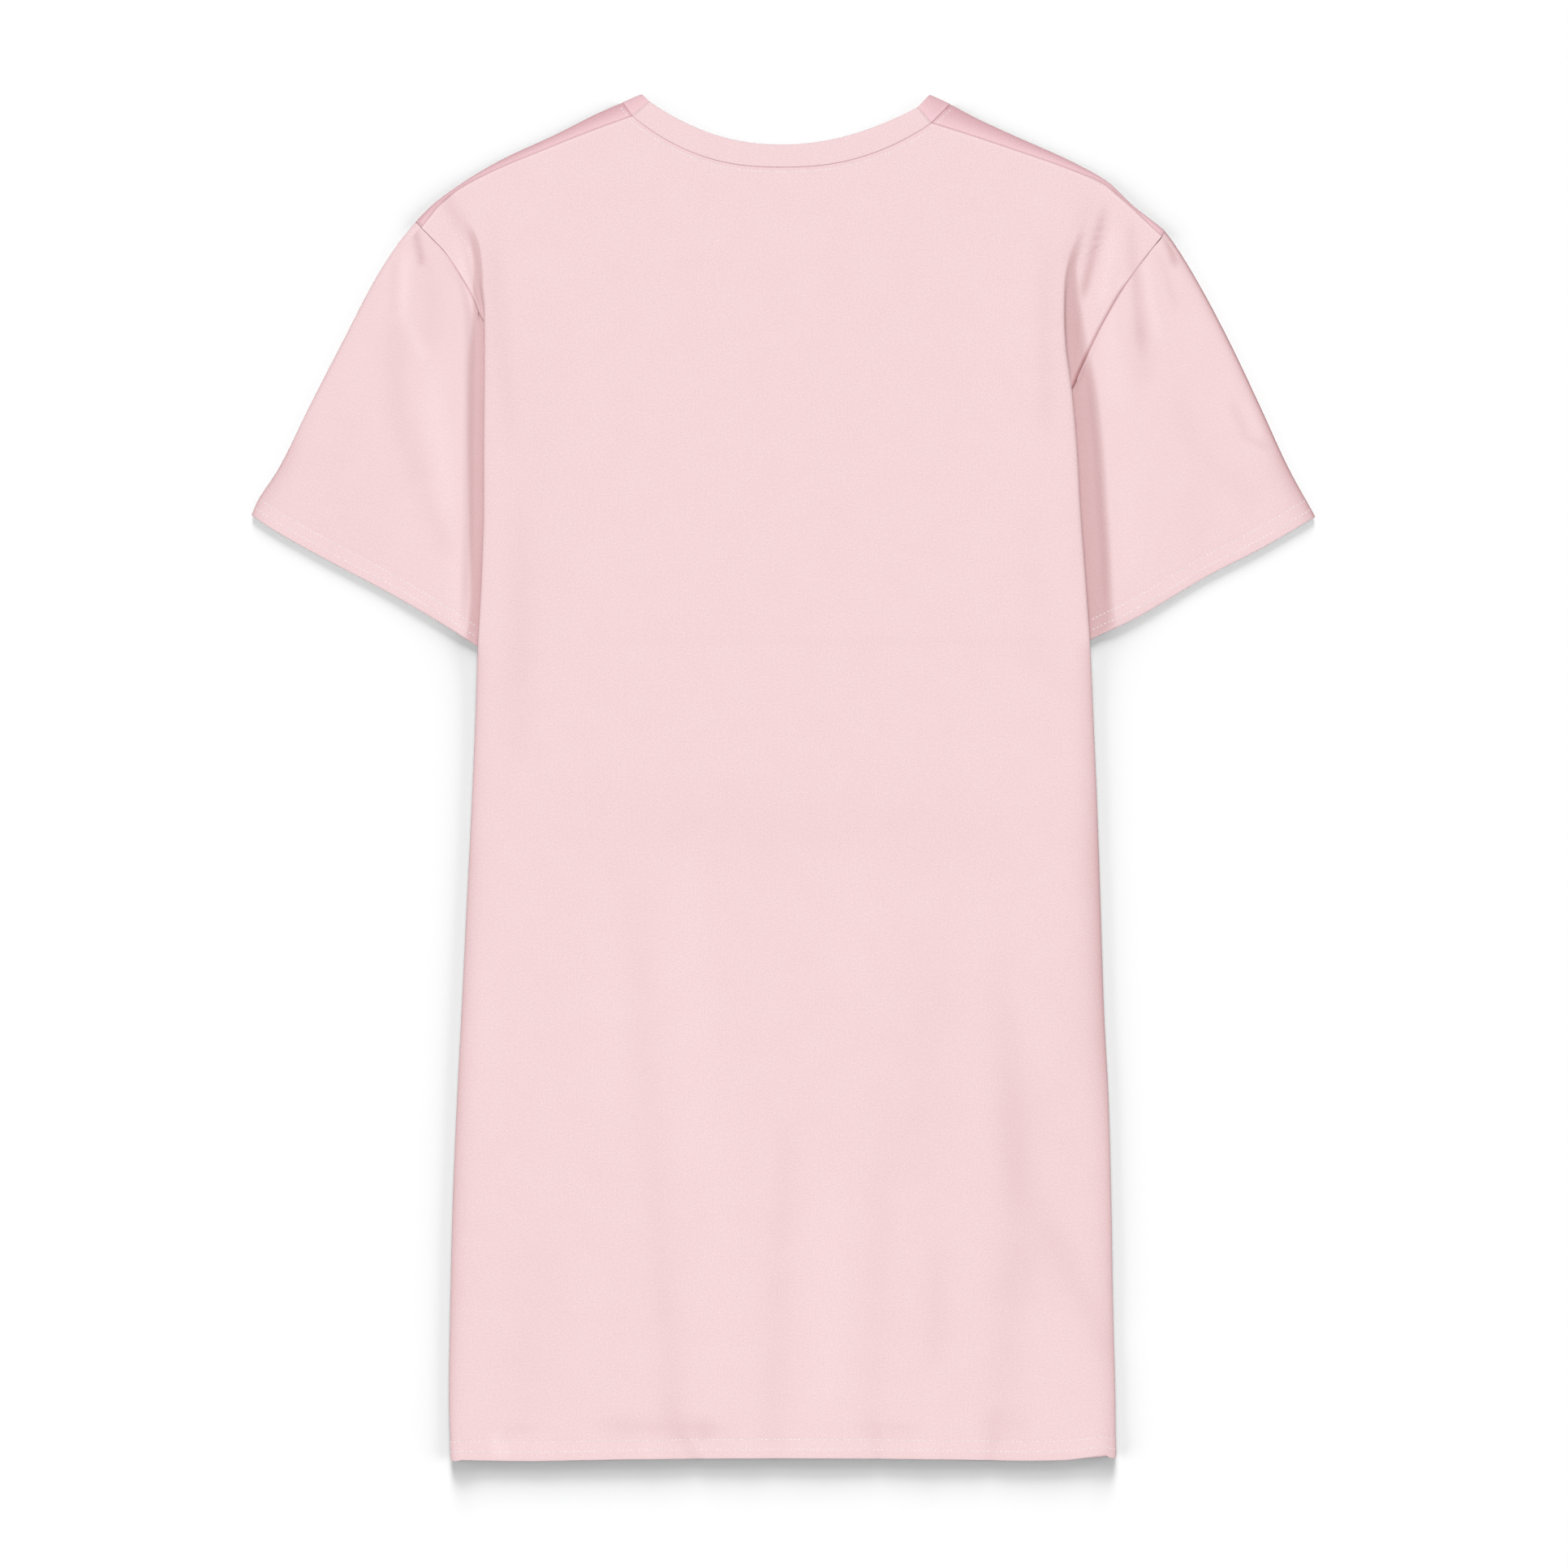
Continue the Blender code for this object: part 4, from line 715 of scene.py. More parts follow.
def back_row(top, share, y_left, y_right):
    """One row of the back between its sewn edges, at its height on each side."""
    ends = {}
    for side, y in (("left", y_left), ("right", y_right)):
        edge = float(EDGE_X[side](y))
        ends[side] = [(edge - outward(side) * q, y + float(hem_shift(edge, y)), z)
                      for q, z in edge_section(side, y)]
    flat = row_points(ends["left"][-1], ends["right"][-1], share, top)
    flat[:, 1] += hem_shift(flat[:, 0], flat[:, 1])
    lift = np.array([unevenness(x, y) for x, y in flat])
    inside = np.minimum(flat[:, 0] - ends["left"][-1][0], ends["right"][-1][0] - flat[:, 0])
    heights = back_height(flat[:, 0], flat[:, 1]) + lift * smooth(0.0, 18.0, inside)
    heights = heights + folds_at(flat[:, 0], flat[:, 1], HEM_PUCKERS) + hem_loft(flat[:, 1])
    middle = np.column_stack([flat, heights])
    first = refine(ends["left"] + [tuple(middle[0])], EDGE_STEPS)
    last = refine(ends["right"] + [tuple(middle[-1])], EDGE_STEPS)
    return np.vstack([first[:-1], middle, last[:-1][::-1]])


def neck_height(x):
    """Middle height of the back's neckline, from its sagging middle to the level tips."""
    low = float(back_height(x, neck_curve(NECK_SEAM, x)))
    return mix(low, SHOULDER_TOP, smooth(55.0, 93.0, abs(x)))


def back_top_row(top):
    """The last row of the back, along the shoulder seams and the neckline."""
    ends = {}
    for side in SIDES:
        start, middle, end = [np.array((x, float(SEAM_Y[side](x)))) for x in SHOULDER_ENDS[side]]
        line = [mix(start, middle, t) for t in (0.0, 1 / 3, 2 / 3, 1.0)]
        line += [mix(middle, end, t) for t in (0.25, 0.5, 0.75, 1.0)]
        beyond = top[1] if side == "left" else top[-2]
        ends[side] = refine(line + [beyond], EDGE_STEPS)[:-1]
    flat = np.vstack([ends["left"], top[1:-1], ends["right"][::-1]])
    low, high = NECK_SEAM["left"][0], NECK_SEAM["right"][0]
    heights = [neck_height(x) if low < x < high else SHOULDER_TOP for x in flat[:, 0]]
    flat[:, 1] -= SEAM_GAP
    return np.column_stack([flat, heights])


def seam_shade(distance, pull=0.0):
    """Painted shade in the groove of a seam, wider where it is pulled in, and the painted highlight beside
    it.
    """
    groove = (SEAM_SHADE + 0.5 * pull) * np.exp(-(distance / (0.45 + 0.95 * pull)) ** 2)
    return groove - 0.13 * np.exp(-((distance - 1.3 - 0.93 * pull) / (0.7 + 0.2 * pull)) ** 2)


def topstitch_shade(distance):
    """Painted shade on the back beside the neck seam, whose allowance is stitched down below it."""
    groove = SEAM_SHADE * np.exp(-(distance / 0.45) ** 2)
    return groove + 0.06 * np.exp(-(distance - 0.9) ** 2) + 0.13 * np.exp(-((distance - 1.9) / 0.45) ** 2)


def armhole_pull(side, y):
    """How hard the armhole's seam is pulled in at some y."""
    low, high, pull = ARMHOLE_PULL[side]
    return mix(pull, SHOULDER_PULL, smooth(low, high, y))


def soften(grid, first_row, columns):
    """Evens out the bends where the rolled edges run into the shoulder seams."""
    for part in (grid[first_row:, :columns], grid[first_row:, -columns:]):
        for _ in range(SOFT_PASSES):
            inner = part[1:-1, 1:-1]
            mean = (part[:-2, 1:-1] + part[2:, 1:-1] + part[1:-1, :-2] + part[1:-1, 2:]) / 4
            part[1:-1, 1:-1] = inner + 0.5 * (mean - inner)


def back_grid(ys):
    """Middle points of the back: rows of the body, of the armholes and up to the top edge."""
    top = back_top()
    rows = [back_row(top, 0.0, y, y) for y in ys]
    for share in np.linspace(0.0, 1.0 - 1.0 / ARMHOLE_ROWS, ARM_STEPS + 1):
        rows.append(back_row(top, share, *[mix(UNDERARM_Y, armhole_top(side), share) for side in SIDES]))
    below, above = rows[-1], back_top_row(top)
    grid = np.array(rows + [mix(below, above, t) for t in TOP_SHARES] + [above])
    soften(grid, len(grid) - SOFT_ROWS, sum(EDGE_STEPS) + FLAT_COLUMNS[0])
    outer = sum(EDGE_STEPS[:2])
    for columns in (slice(0, outer), slice(-outer, None)):
        flap = grid[len(ys) + ARM_STEPS // 3:, columns]
        flap[..., 2] += folds_at(flap[..., 0], flap[..., 1], FLAP_FOLDS)
    grid[-len(SEAM_DIPS):, :, 2] -= np.array(SEAM_DIPS[::-1])[:, None]
    return grid


def back_shade(grid, from_hem):
    """Painted shade of the back's folds, its hem, and its neck, shoulder and armhole seams."""
    shade = cloth_shade(grid[..., 0], grid[..., 1], FOLDS + FLAP_FOLDS + HEM_PUCKERS)
    shade[:len(from_hem)] += hem_shade(from_hem)[:, None]
    from_top = np.linalg.norm(grid - grid[-1:], axis=2)
    neck = (grid[-1, :, 0] > NECK_SEAM["left"][0] + 1.0) & (grid[-1, :, 0] < NECK_SEAM["right"][0] - 1.0)
    shade += np.where(neck[None], topstitch_shade(from_top), seam_shade(from_top))
    rows, edge = slice(len(from_hem), len(grid) - 1), sum(EDGE_STEPS)
    for side, first, part in (("left", 0, slice(0, edge)), ("right", -1, slice(-edge, None))):
        across = np.linalg.norm(grid[rows, part] - grid[rows, first][:, None], axis=2)
        shade[rows, part] += seam_shade(across, armhole_pull(side, grid[rows, part, 1]))
    return shade


def make_back():
    """Back panel, and the lines of its hem stitches."""
    ys = body_rows()
    grid = back_grid(ys)
    from_hem = np.array(ys) - HEM_Y
    walls = np.full(grid.shape[:2], WALL)
    walls[:len(ys)] = hem_wall(from_hem)[:, None]
    piece, outer = shell("back_panel", grid, walls, grid_normals(grid), back_shade(grid, from_hem))
    return piece, [outer[ys.index(HEM_Y + distance)] for distance in HEM_STITCH]


# ==== shoulder fold, shared by the front, the sleeves and the rib ====
def roll_steps(width, bottom, top, wall):
    """Middle points of a folded edge: (distance inside the outline, height), going up."""
    skin = wall / 2
    flat = 0.85 * width
    middle = (bottom + top) / 2
    low_reach, high_reach = bottom_turn(wall) - skin, flat - skin
    steps = [(bottom_turn(wall) - low_reach * math.sin(a), middle - (middle - bottom) * math.cos(a))
             for a in np.linspace(0.0, math.pi / 2, ROLL_PARTS + 1)[1:]]
    steps += [(flat - high_reach * math.sin(a), middle + (top - middle) * math.cos(a))
              for a in np.linspace(math.pi / 2, 0.0, ROLL_PARTS + 1)[1:]]
    return steps


def bottom_turn(wall):
    """How far inside the outline a folded edge leaves the lower cloth."""
    return 1.9 + wall - SOLID_WALL


def shoulder_pair(side, x):
    """Point of a shoulder's seam, after the point of the fold that lies straight above it."""
    line, fold = SHOULDER_SEAM[side], SHOULDER_FOLD[side]
    seam = np.array((x, float(SEAM_Y[side](x))))
    ahead = np.array((4.0, float(SEAM_Y[side](x + 2.0) - SEAM_Y[side](x - 2.0))))
    up = unit(np.array((-ahead[1], ahead[0])))
    width = 0.0
    for _ in range(6):
        point = seam + up * width
        width += (float(FOLD_Y[side](point[0])) - point[1]) * up[1]
    found = seam + up * width
    reach = abs(line[-1][0] - line[0][0])
    found = mix(found, np.array(fold[0]), 1.0 - smooth(0.0, 0.06, abs(x - line[0][0]) / reach))
    return mix(found, np.array(fold[-1]), 1.0 - smooth(0.0, 0.12, abs(x - line[-1][0]) / reach)), seam


def fold_column(outline, seam, floor, wall, top):
    """One column over a folded edge: from the lower cloth round to the seam on the upper side."""
    across = unit(seam - outline)
    width = np.linalg.norm(seam - outline)
    steps = [(bottom_turn(wall), floor)] + roll_steps(width, floor, top, wall)
    last = steps[-1][0]
    steps += [(mix(last, width, t), top - dip)
              for t, dip in ((0.3, 0.0), (0.6, 0.0), (0.85, 0.08), (1.0, 0.25))]
    return [np.array((*(outline + across * q), z)) for q, z in steps]


def fold_shade(column):
    """Painted shade down a column over a folded edge: on the fold itself and in the seam's groove."""
    points = np.array(column)
    across = points[:, :2] - points[-1, :2]
    share = 1.0 - np.linalg.norm(across, axis=1) / max(np.linalg.norm(across, axis=1).max(), 1e-6)
    shade = FOLD_SHADE * np.clip(1.02 - 1.1 * share, 0.0, 1.0)
    return shade + np.exp(-(np.linalg.norm(points - points[-1], axis=1) / 0.55) ** 2)


# ==== front ====
STRIP_COLUMNS = 48              # along each shoulder strip
FRONT_NECK_COLUMNS = 48
FRONT_HEM_UP = 1.2              # the front's hem lies this far inside the back's
FRONT_HEM_ROWS = (1.2, 1.35, 1.65, 2.2, 3.4, 5.8, 9.0, 12.3, 13.4)      # from the back's hem
FRONT_ROWS, FRONT_ARM_ROWS = 64, 40


def make_front():
    """Lower panel with its shoulders folded over; the fold's rows leave out the neckline."""
    stations = STRIP_COLUMNS + 1
    folds = {}
    for side in SIDES:
        xs = np.linspace(SHOULDER_SEAM[side][0][0], SHOULDER_SEAM[side][-1][0], stations)
        folds[side] = [fold_column(*shoulder_pair(side, x), FLOOR, SOLID_WALL, SHOULDER_TOP) for x in xs]
    neck = [front_neck(FRONT_NECK, k / FRONT_NECK_COLUMNS) for k in range(1, FRONT_NECK_COLUMNS)]
    top = np.array([line[0][:2] for line in folds["left"]] + neck + [line[0][:2] for line in folds["right"]])
    count = len(top)
    ys = [HEM_Y + d for d in FRONT_HEM_ROWS] + list(np.linspace(HEM_Y + 20.0, UNDERARM_Y - 8.0, FRONT_ROWS))
    rows = []
    for y in ys:
        ends = [float(EDGE_X[side](y)) - outward(side) if y < TUCK[0][0] else seam_x(side, y)
                for side in SIDES]
        height = HEM_WALL / 2 if y < HEM_Y + HEM_TURN else FLOOR
        rows.append([(x, y + float(hem_shift(x, y)), height) for x in np.linspace(*ends, count)])
    for share in np.linspace(0.0, 1.0, FRONT_ARM_ROWS)[:-1]:
        ends = [seam_x(side, mix(UNDERARM_Y, armhole_top(side), share)) for side in SIDES]
        xs = mix(np.linspace(*ends, count), top[:, 0], smooth(0.0, 0.75, share))
        xs[0], xs[-1] = ends
        rows.append([(x, y, FLOOR) for x, y in zip(xs, mix(UNDERARM_Y, top[:, 1], share))])
    rows.append([(x, y, FLOOR) for x, y in top])
    flat_rows = len(rows)
    for step in range(1, len(folds["left"][0])):
        left, right = [[line[step] for line in folds[side]] for side in SIDES]
        unused = [2.0 * left[-1] - left[-2]] + [2.0 * right[0] - right[1]] * (len(neck) - 1)
        rows.append(left + unused + right)
    grid = np.array(rows)
    walls = np.full(grid.shape[:2], WALL)
    walls[:len(ys)] = hem_wall(np.array(ys) - HEM_Y - FRONT_HEM_UP)[:, None]
    normals = -grid_normals(grid)
    normals[:flat_rows] = (0.0, 0.0, -1.0)
    # Painted shade on the shoulders' folded edges and in their seams' grooves.
    shade = np.zeros(grid.shape[:2])
    for side, place in (("left", slice(0, stations)), ("right", slice(count - stations, None))):
        shade[flat_rows - 1:, place] = np.array([fold_shade(line) for line in folds[side]]).T

    def keep(i, j):
        return i < flat_rows - 1 or j < stations - 1 or j >= count - stations

    return shell("front_panel", grid, walls, normals, shade, keep=keep)[0]


# ==== sleeves ====
def seam_point(side, row):
    """Point of the armhole seam at one of its rows."""
    y = armhole_y(side, row)
    return np.array((seam_x(side, y), y))


def seam_outward(side, row):
    """Direction across the armhole seam, from the body to the sleeve."""
    before, after = seam_point(side, max(row - 1, 0)), seam_point(side, min(row + 1, ARMHOLE_ROWS))
    along = unit(after - before)
    normal = np.array((-along[1], along[0]))
    return normal if normal[0] * outward(side) > 0.0 else -normal


UNDERARM_INSET = 0.3 + LAYER / 2 + SOLID_WALL / 2


def sleeve_lap(row):
    """How far the sleeve's upper edge goes under the back."""
    return mix(mix(-UNDERARM_INSET, 1.5, min(row / 3.0, 1.0)), -0.3, smooth(12.0, 13.0, row))


def cuff_point(side, row):
    """Point of the cuff's edge at the end of the ruling that starts at an armhole row."""
    line = CUFF[side]
    hidden_x = seam_x(side, line[-1][1]) + outward(side) * UNDERARM_INSET
    inner_x = float(EDGE_X[side](line[-1][1] + 8.0)) + outward(side) * BESIDE_PLEAT
    outer_x = line[0][0] - outward(side) * 4.2
    ditch = DITCH_ROW[side]
    if row <= ditch:
        x = mix(hidden_x, inner_x, row / ditch)
    else:
        x = mix(inner_x, outer_x, ((row - ditch) / (ARMHOLE_ROWS - ditch)) ** CUFF_SPREAD)
    return np.array((x, float(CUFF_Y[side](x))))


def sleeve_outline(side, t):
    """Point of the sleeve's folded edge at t from the shoulder (0) to the cuff (1)."""
    fold = SLEEVE_FOLD[side]
    y = mix(fold[0][1], fold[-1][1], t)
    return np.array((float(SLEEVE_FOLD_X[side](y)), y))


def fold_across(side, t):
    """Direction from the sleeve's folded edge inwards, and the width of its rounded part."""
    outline, seam = shoulder_pair(side, shoulder_tip(side)[0])
    start = unit(seam - outline)
    end = unit(np.array(CUFF[side][1]) - np.array(CUFF[side][0]))
    return unit(mix(start, end, smooth(0.0, 0.5, t))), mix(np.linalg.norm(seam - outline), CUFF_FOLD, t)


def ruling_point(side, row, t, start, end):
    """Point of a ruling, bowed with the pleat on one side and the folded edge on the other."""
    x, y = mix(start, end, t)
    ditch = DITCH_ROW[side]
    first, last = seam_point(side, ditch), cuff_point(side, ditch)
    level = mix(first[1], last[1], t)
    pleat = float(EDGE_X[side](level)) + outward(side) * BESIDE_PLEAT - mix(first[0], last[0], t)
    pleat *= smooth(0.0, 0.12, t) * smooth(0.0, 0.05, 1.0 - t)
    outline = sleeve_outline(side, t) - mix(sleeve_outline(side, 0.0), sleeve_outline(side, 1.0), t)
    if row <= ditch:
        low, high = seam_point(side, 0), cuff_point(side, 0)
        level = mix(low[1], high[1], t)
        hidden = seam_x(side, level) - mix(low[0], high[0] - outward(side) * UNDERARM_INSET, t)
        return np.array((x + mix(hidden, pleat, row / ditch), y))
    share = (row - ditch) / (ARMHOLE_ROWS - ditch)
    return np.array((x + mix(pleat, outline[0], share), y))


def sleeve_height(side, x, y):
    """Middle height of the sleeve's upper cloth, rising from the ditch beside the pleat."""
    away = (x - float(EDGE_X[side](y))) * outward(side)
    level = mix(SLEEVE_SWELL, SLEEVE_LOW, smooth(18.0, 80.0, away))
    level += float(folds_at(x, y, SLEEVE_FOLDS[side])) + unevenness(x, y) * smooth(8.0, 24.0, away)
    bank = smooth(DITCH_FLOOR[side], DITCH_FLOOR[side] + DITCH_BANK, away)
    return mix(SECOND, max(level, SECOND + 0.9), bank)


def ring_distances(length):
    """Distances of a sleeve's rings from its armhole seam, with rings under the stitches."""
    far = [length - distance for distance in CUFF_RINGS]
    return list(SEAM_RINGS) + list(np.linspace(SEAM_RINGS[-1], far[0], SLEEVE_RINGS)[1:-1]) + far


def sleeve_rows(side):
    """Armhole rows of a sleeve: coarse under the pleat, fine across the ditch beside it."""
    ditch = DITCH_ROW[side]
    shares = [FINE_SHARE * k / FINE_STEPS for k in range(1, FINE_STEPS + 1)]
    shares += [mix(FINE_SHARE, 1.0, k / WIDE_STEPS) for k in range(1, WIDE_STEPS + 1)]
    hidden = [k * HIDDEN_STEP for k in range(round(ditch / HIDDEN_STEP) + 1)]
    return hidden + [ditch + (ARMHOLE_ROWS - ditch) * share ** (1.0 / CUFF_SPREAD) for share in shares]


# A place on both layers of a sleeve, and where it lies on its way from the seam to the cuff.
Station = namedtuple("Station", "upper lower wall share to_cuff")


def sleeve_section(side, row):
    """Stations of a sleeve along the ruling that starts at an armhole row."""
    seam, across, lap = seam_point(side, row), seam_outward(side, row), sleeve_lap(row)
    end = cuff_point(side, row)
    length = np.linalg.norm(end - seam)
    start = seam + across * max(0.3, -lap)
    flap = edge_section(side, armhole_y(side, row))[0][1]
    last_row = smooth(ARMHOLE_ROWS - 1.0, ARMHOLE_ROWS, row)
    stations = []
    for distance in ring_distances(length):
        share, to_cuff = distance / length, length - distance
        x, y = ruling_point(side, row, share, start, end)
        height = SECOND
        if row > DITCH_ROW[side]:
            beside = flap - 0.1 - LAYER * math.exp(-((distance + 0.25) / 0.55) ** 2)
            height = mix(beside, sleeve_height(side, x, y), smooth(0.5, 7.0, distance))
        level = mix(SHOULDER_TOP, SLEEVE_LOW - 0.2, smooth(0.0, 0.5, share))
        height = mix(height, level, last_row)
        wall = float(hem_wall(to_cuff, CUFF_WALL))
        slope = math.sqrt(min(to_cuff / CUFF_SLOPE, 1.0))
        height = max(mix(CUFF_EDGE, height, slope), CUFF_WALL + wall / 2 + 0.02)
        above = (x, y) if stations else seam - across * lap
        floor = CUFF_WALL / 2 if to_cuff < HEM_TURN else FLOOR
        stations.append(Station((*above, height), (x, y, floor), wall, share, to_cuff))
    return stations


def sleeve_ring(side, stations):
    """Points and walls all round: upper cloth, folded edge, lower cloth and the fold under the body."""
    upper, lower = [station.upper for station in stations], [station.lower for station in stations]
    walls = [station.wall for station in stations]
    share = stations[-1].share
    outline = sleeve_outline(side, share)
    if share == 0.0:
        outline = outline + seam_outward(side, ARMHOLE_ROWS) * SEAM_GAP
    across, width = fold_across(side, share)
    inside = outline + across * width
    fold = fold_column(outline, inside, lower[-1][2], SOLID_WALL, upper[-1][2])
    fold = fold[:2 * ROLL_PARTS + 1] + [np.array((*inside, upper[-1][2]))]
    if share > 0.0:
        upper[-1] = tuple(fold[-1])
    lower[-1] = tuple(fold[0])
    turned = np.array(upper[0][:2]) - seam_outward(side, 0) * LAYER / 2
    points = upper + fold[-2:0:-1] + lower[::-1] + [(*turned, (FLOOR + SECOND) / 2)]
    return points, walls + [walls[-1]] * (len(fold) - 2) + walls[::-1] + [WALL]


def sleeve_uvs(grid):
    """Lengths round the sleeve, as at its cuff, and along it from its seam."""
    uvs = np.zeros((*grid.shape[:2], 2))
    uvs[1:, :, 1] = np.cumsum(np.linalg.norm(np.diff(grid, axis=0), axis=2), axis=0)
    uvs[..., 0] = lengths(grid[-1])
    return uvs


def sleeve_shade(side, grid, sections):
    """Painted shade of a sleeve's upper cloth, its folded edge and its seam."""
    count = len(sections)
    fold_end = grid.shape[1] - count - 1
    shade = np.zeros(grid.shape[:2])
    to_cuff = np.array([[station.to_cuff for station in line] for line in sections]).T
    shade[:, :count] = cloth_shade(grid[:, :count, 0], grid[:, :count, 1], SLEEVE_FOLDS[side])
    shade[:, :count] += hem_shade(to_cuff)
    edge = slice(count - EDGE_ROWS, fold_end)
    outline = grid[:, fold_end - 1 - ROLL_PARTS][:, None]
    inside = np.linalg.norm((grid[:, edge] - outline)[..., :2], axis=2)
    shade[:, edge] += edge_shade(inside, SLEEVE_EDGE_SHADE[side], grid[:, edge, 1])
    return shade + seam_shade(np.linalg.norm(grid - grid[:1], axis=2), armhole_pull(side, grid[..., 1]))


def make_sleeve(side):
    """One sleeve, and the lines of its cuff stitches."""
    sections = [sleeve_section(side, row) for row in sleeve_rows(side)]
    rings = [sleeve_ring(side, stations) for stations in zip(*sections)]
    grid = np.array([points for points, _ in rings])
    walls = np.array([thick for _, thick in rings])
    hidden = round(DITCH_ROW[side] / HIDDEN_STEP)
    normals = -outward(side) * grid_normals(grid, ring=True)
    normals[:, :hidden + 1] = (0.0, 0.0, 1.0)
    normals[:, -1 - len(sections):-1] = (0.0, 0.0, -1.0)
    normals[:, -1] = (-outward(side), 0.0, 0.0)
    shade = sleeve_shade(side, grid, sections)
    piece, outer = shell(f"sleeve_{side}_cloth", grid, walls, normals, shade, sleeve_uvs(grid), ring=True)
    stitched = [len(rings) - len(CUFF_RINGS) + CUFF_RINGS.index(distance) for distance in CUFF_STITCH]
    return piece, [outer[ring, hidden:] for ring in reversed(stitched)]


# ==== neck rib ====
RIB_ROWS = (0.0, 0.025, 0.055, 0.10, 0.25, 0.5, 0.75, 0.90, 0.97, 1.0)
RIB_DIPS = (0.25, 0.13, 0.04)   # how far its first rows sink along the seam
RIB_WIDTH = 14.0


def band_grid(seam, edge):
    """Rib between its seam and its free edge, with a dip along the seam on the upper side."""
    grid = np.array([[mix(np.array(a), np.array(b), t) for a, b in zip(seam, edge)]
                     for t in RIB_ROWS]).transpose(1, 0, 2)
    raised = smooth(1.2, 3.0, grid[..., 2])
    grid[..., 2] -= raised * np.array(RIB_DIPS + (0.0,) * (len(RIB_ROWS) - len(RIB_DIPS)))
    return grid


def band_walls(shape):
    """The rib is folded in two along its free edge, so it is round there."""
    profile = np.array((1.0,) * 7 + (0.96, 0.72, 0.25)) * BAND_WALL
    return np.broadcast_to(profile, shape)


def neck_line(side):
    """Direction of the rib's shoulder seam, from the neckline to the free edge."""
    return unit(np.array(NECK_EDGE[side][:2]) - np.array(NECK_SEAM[side][:2]))


def make_band(name, seam, edge, flat=None, fold=None):
    """Rib as a shell; flat points lie on the ground, and fold points go over each shoulder."""
    grid = band_grid(seam, edge)
    normals = grid_normals(grid)
    if flat:
        normals[flat] = (0.0, 0.0, 1.0)
    uvs = np.zeros((*grid.shape[:2], 2))
    uvs[..., 0] = lengths(grid[:, RIB_ROWS.index(0.5)])[:, None]
    uvs[..., 1] = np.array(RIB_ROWS) * RIB_WIDTH
    # Painted shade in the seam's groove, and on the rib where it folds over the shoulders.
    shade = seam_shade(np.linalg.norm(grid - grid[:, :1], axis=2))
    if fold:
        shade[:fold] += 0.4 * fold_shade(seam[:fold][::-1])[::-1][:, None]
        shade[-fold:] += 0.6 * fold_shade(seam[-fold:])[:, None]
    return shell(name, grid, band_walls(grid.shape[:2]), normals, shade, uvs)[0]


def make_neckband_back():
    """Rib along the back's neckline, from one shoulder seam to the other."""
    seam, edge = [], []
    for k in range(RIB_COLUMNS + 1):
        x, edge_x = [mix(shape["left"][0], shape["right"][0], k / RIB_COLUMNS)
                     for shape in (NECK_SEAM, NECK_EDGE)]
        z = neck_height(x) + (BAND_WALL - WALL) / 2
        a = np.array((x, neck_curve(NECK_SEAM, x)))
        b = np.array((edge_x, neck_curve(NECK_EDGE, edge_x)))
        if k in (0, RIB_COLUMNS):
            side = "left" if k == 0 else "right"
            along = neck_line(side)
            clear = np.array((along[1], -along[0])) * SEAM_GAP * -outward(side)
            a, b = a + clear, b + clear
        seam.append((*(a + unit(b - a) * SEAM_GAP), z))
        edge.append((*b, z))
    return make_band("neck_rib_back", seam, edge)


def band_fold(side, inner):
    """Column of the rib over the shoulder, on its seam or on its free edge."""
    top = SHOULDER_TOP + (BAND_WALL - WALL) / 2
    fold = np.array((FRONT_NECK_EDGE if inner else FRONT_NECK)[side])
    seam = np.array((NECK_EDGE if inner else NECK_SEAM)[side][:2])
    if not inner:
        fold = fold + unit(np.array(FRONT_NECK_EDGE[side]) - fold) * SEAM_GAP
        seam = seam + neck_line(side) * SEAM_GAP
    return [tuple(p) for p in fold_column(fold, seam, BAND_FLOOR, SOLID_BAND_WALL, top)]


def make_neckband_front():
    """Rib along the front neckline, folded over both shoulders up to its shoulder seams."""
    seam, edge = band_fold("left", False)[::-1], band_fold("left", True)[::-1]
    folded = len(seam) - 1
    for k in range(1, FRONT_RIB_COLUMNS):
        a, b = [front_neck(shape, k / FRONT_RIB_COLUMNS) for shape in (FRONT_NECK, FRONT_NECK_EDGE)]
        seam.append((*(a + unit(b - a) * 0.3), BAND_FLOOR))
        edge.append((*b, BAND_FLOOR))
    seam += band_fold("right", False)
    edge += band_fold("right", True)
    return make_band("neck_rib_front", seam, edge, slice(folded, len(seam) - folded), folded + 1)


# ==== stitches ====
def resample(line, step):
    """Points at even steps along a line."""
    line = np.asarray(line, dtype=float)
    reach = lengths(line)
    at = np.arange(0.0, reach[-1], step)
    return np.stack([np.interp(at, reach, line[:, k]) for k in range(3)], axis=1)


def one_stitch(start, end):
    """Points of a stitch between two points of its line, ring by ring."""
    along = unit(end - start)
    side = unit(np.cross((0.0, 0.0, 1.0), along))
    up = np.cross(along, side)
    points = []
    for t, width, rise in STITCH_FORM:
        centre = (start + end) / 2 + along * t * STITCH_LENGTH
        for k in range(STITCH_SIDES):
            angle = 2.0 * math.pi * k / STITCH_SIDES
            points.append(centre + side * math.cos(angle) * width * THREAD / 2
                          + up * (math.sin(angle) * width + rise * 0.8) * THREAD / 2)
    return points


def stitches(name, lines):
    """Short rounded stitches of thread, laid end to end along lines on the cloth."""
    ring, last = range(STITCH_SIDES), (len(STITCH_FORM) - 1) * STITCH_SIDES
    caps = [tuple(reversed(ring)), tuple(last + corner for corner in ring)]
    form = grid_quads(len(STITCH_FORM), STITCH_SIDES, ring=True) + caps
    points, faces = [], []
    for line in lines:
        fine = resample(line, STITCH_PITCH / STITCH_CUTS)
        for start in range(0, len(fine) - STITCH_CUTS, STITCH_CUTS):
            faces += [tuple(len(points) + corner for corner in face) for face in form]
            points += one_stitch(fine[start], fine[start + STITCH_CUTS - 1])
    return to_mesh(name, points, faces)


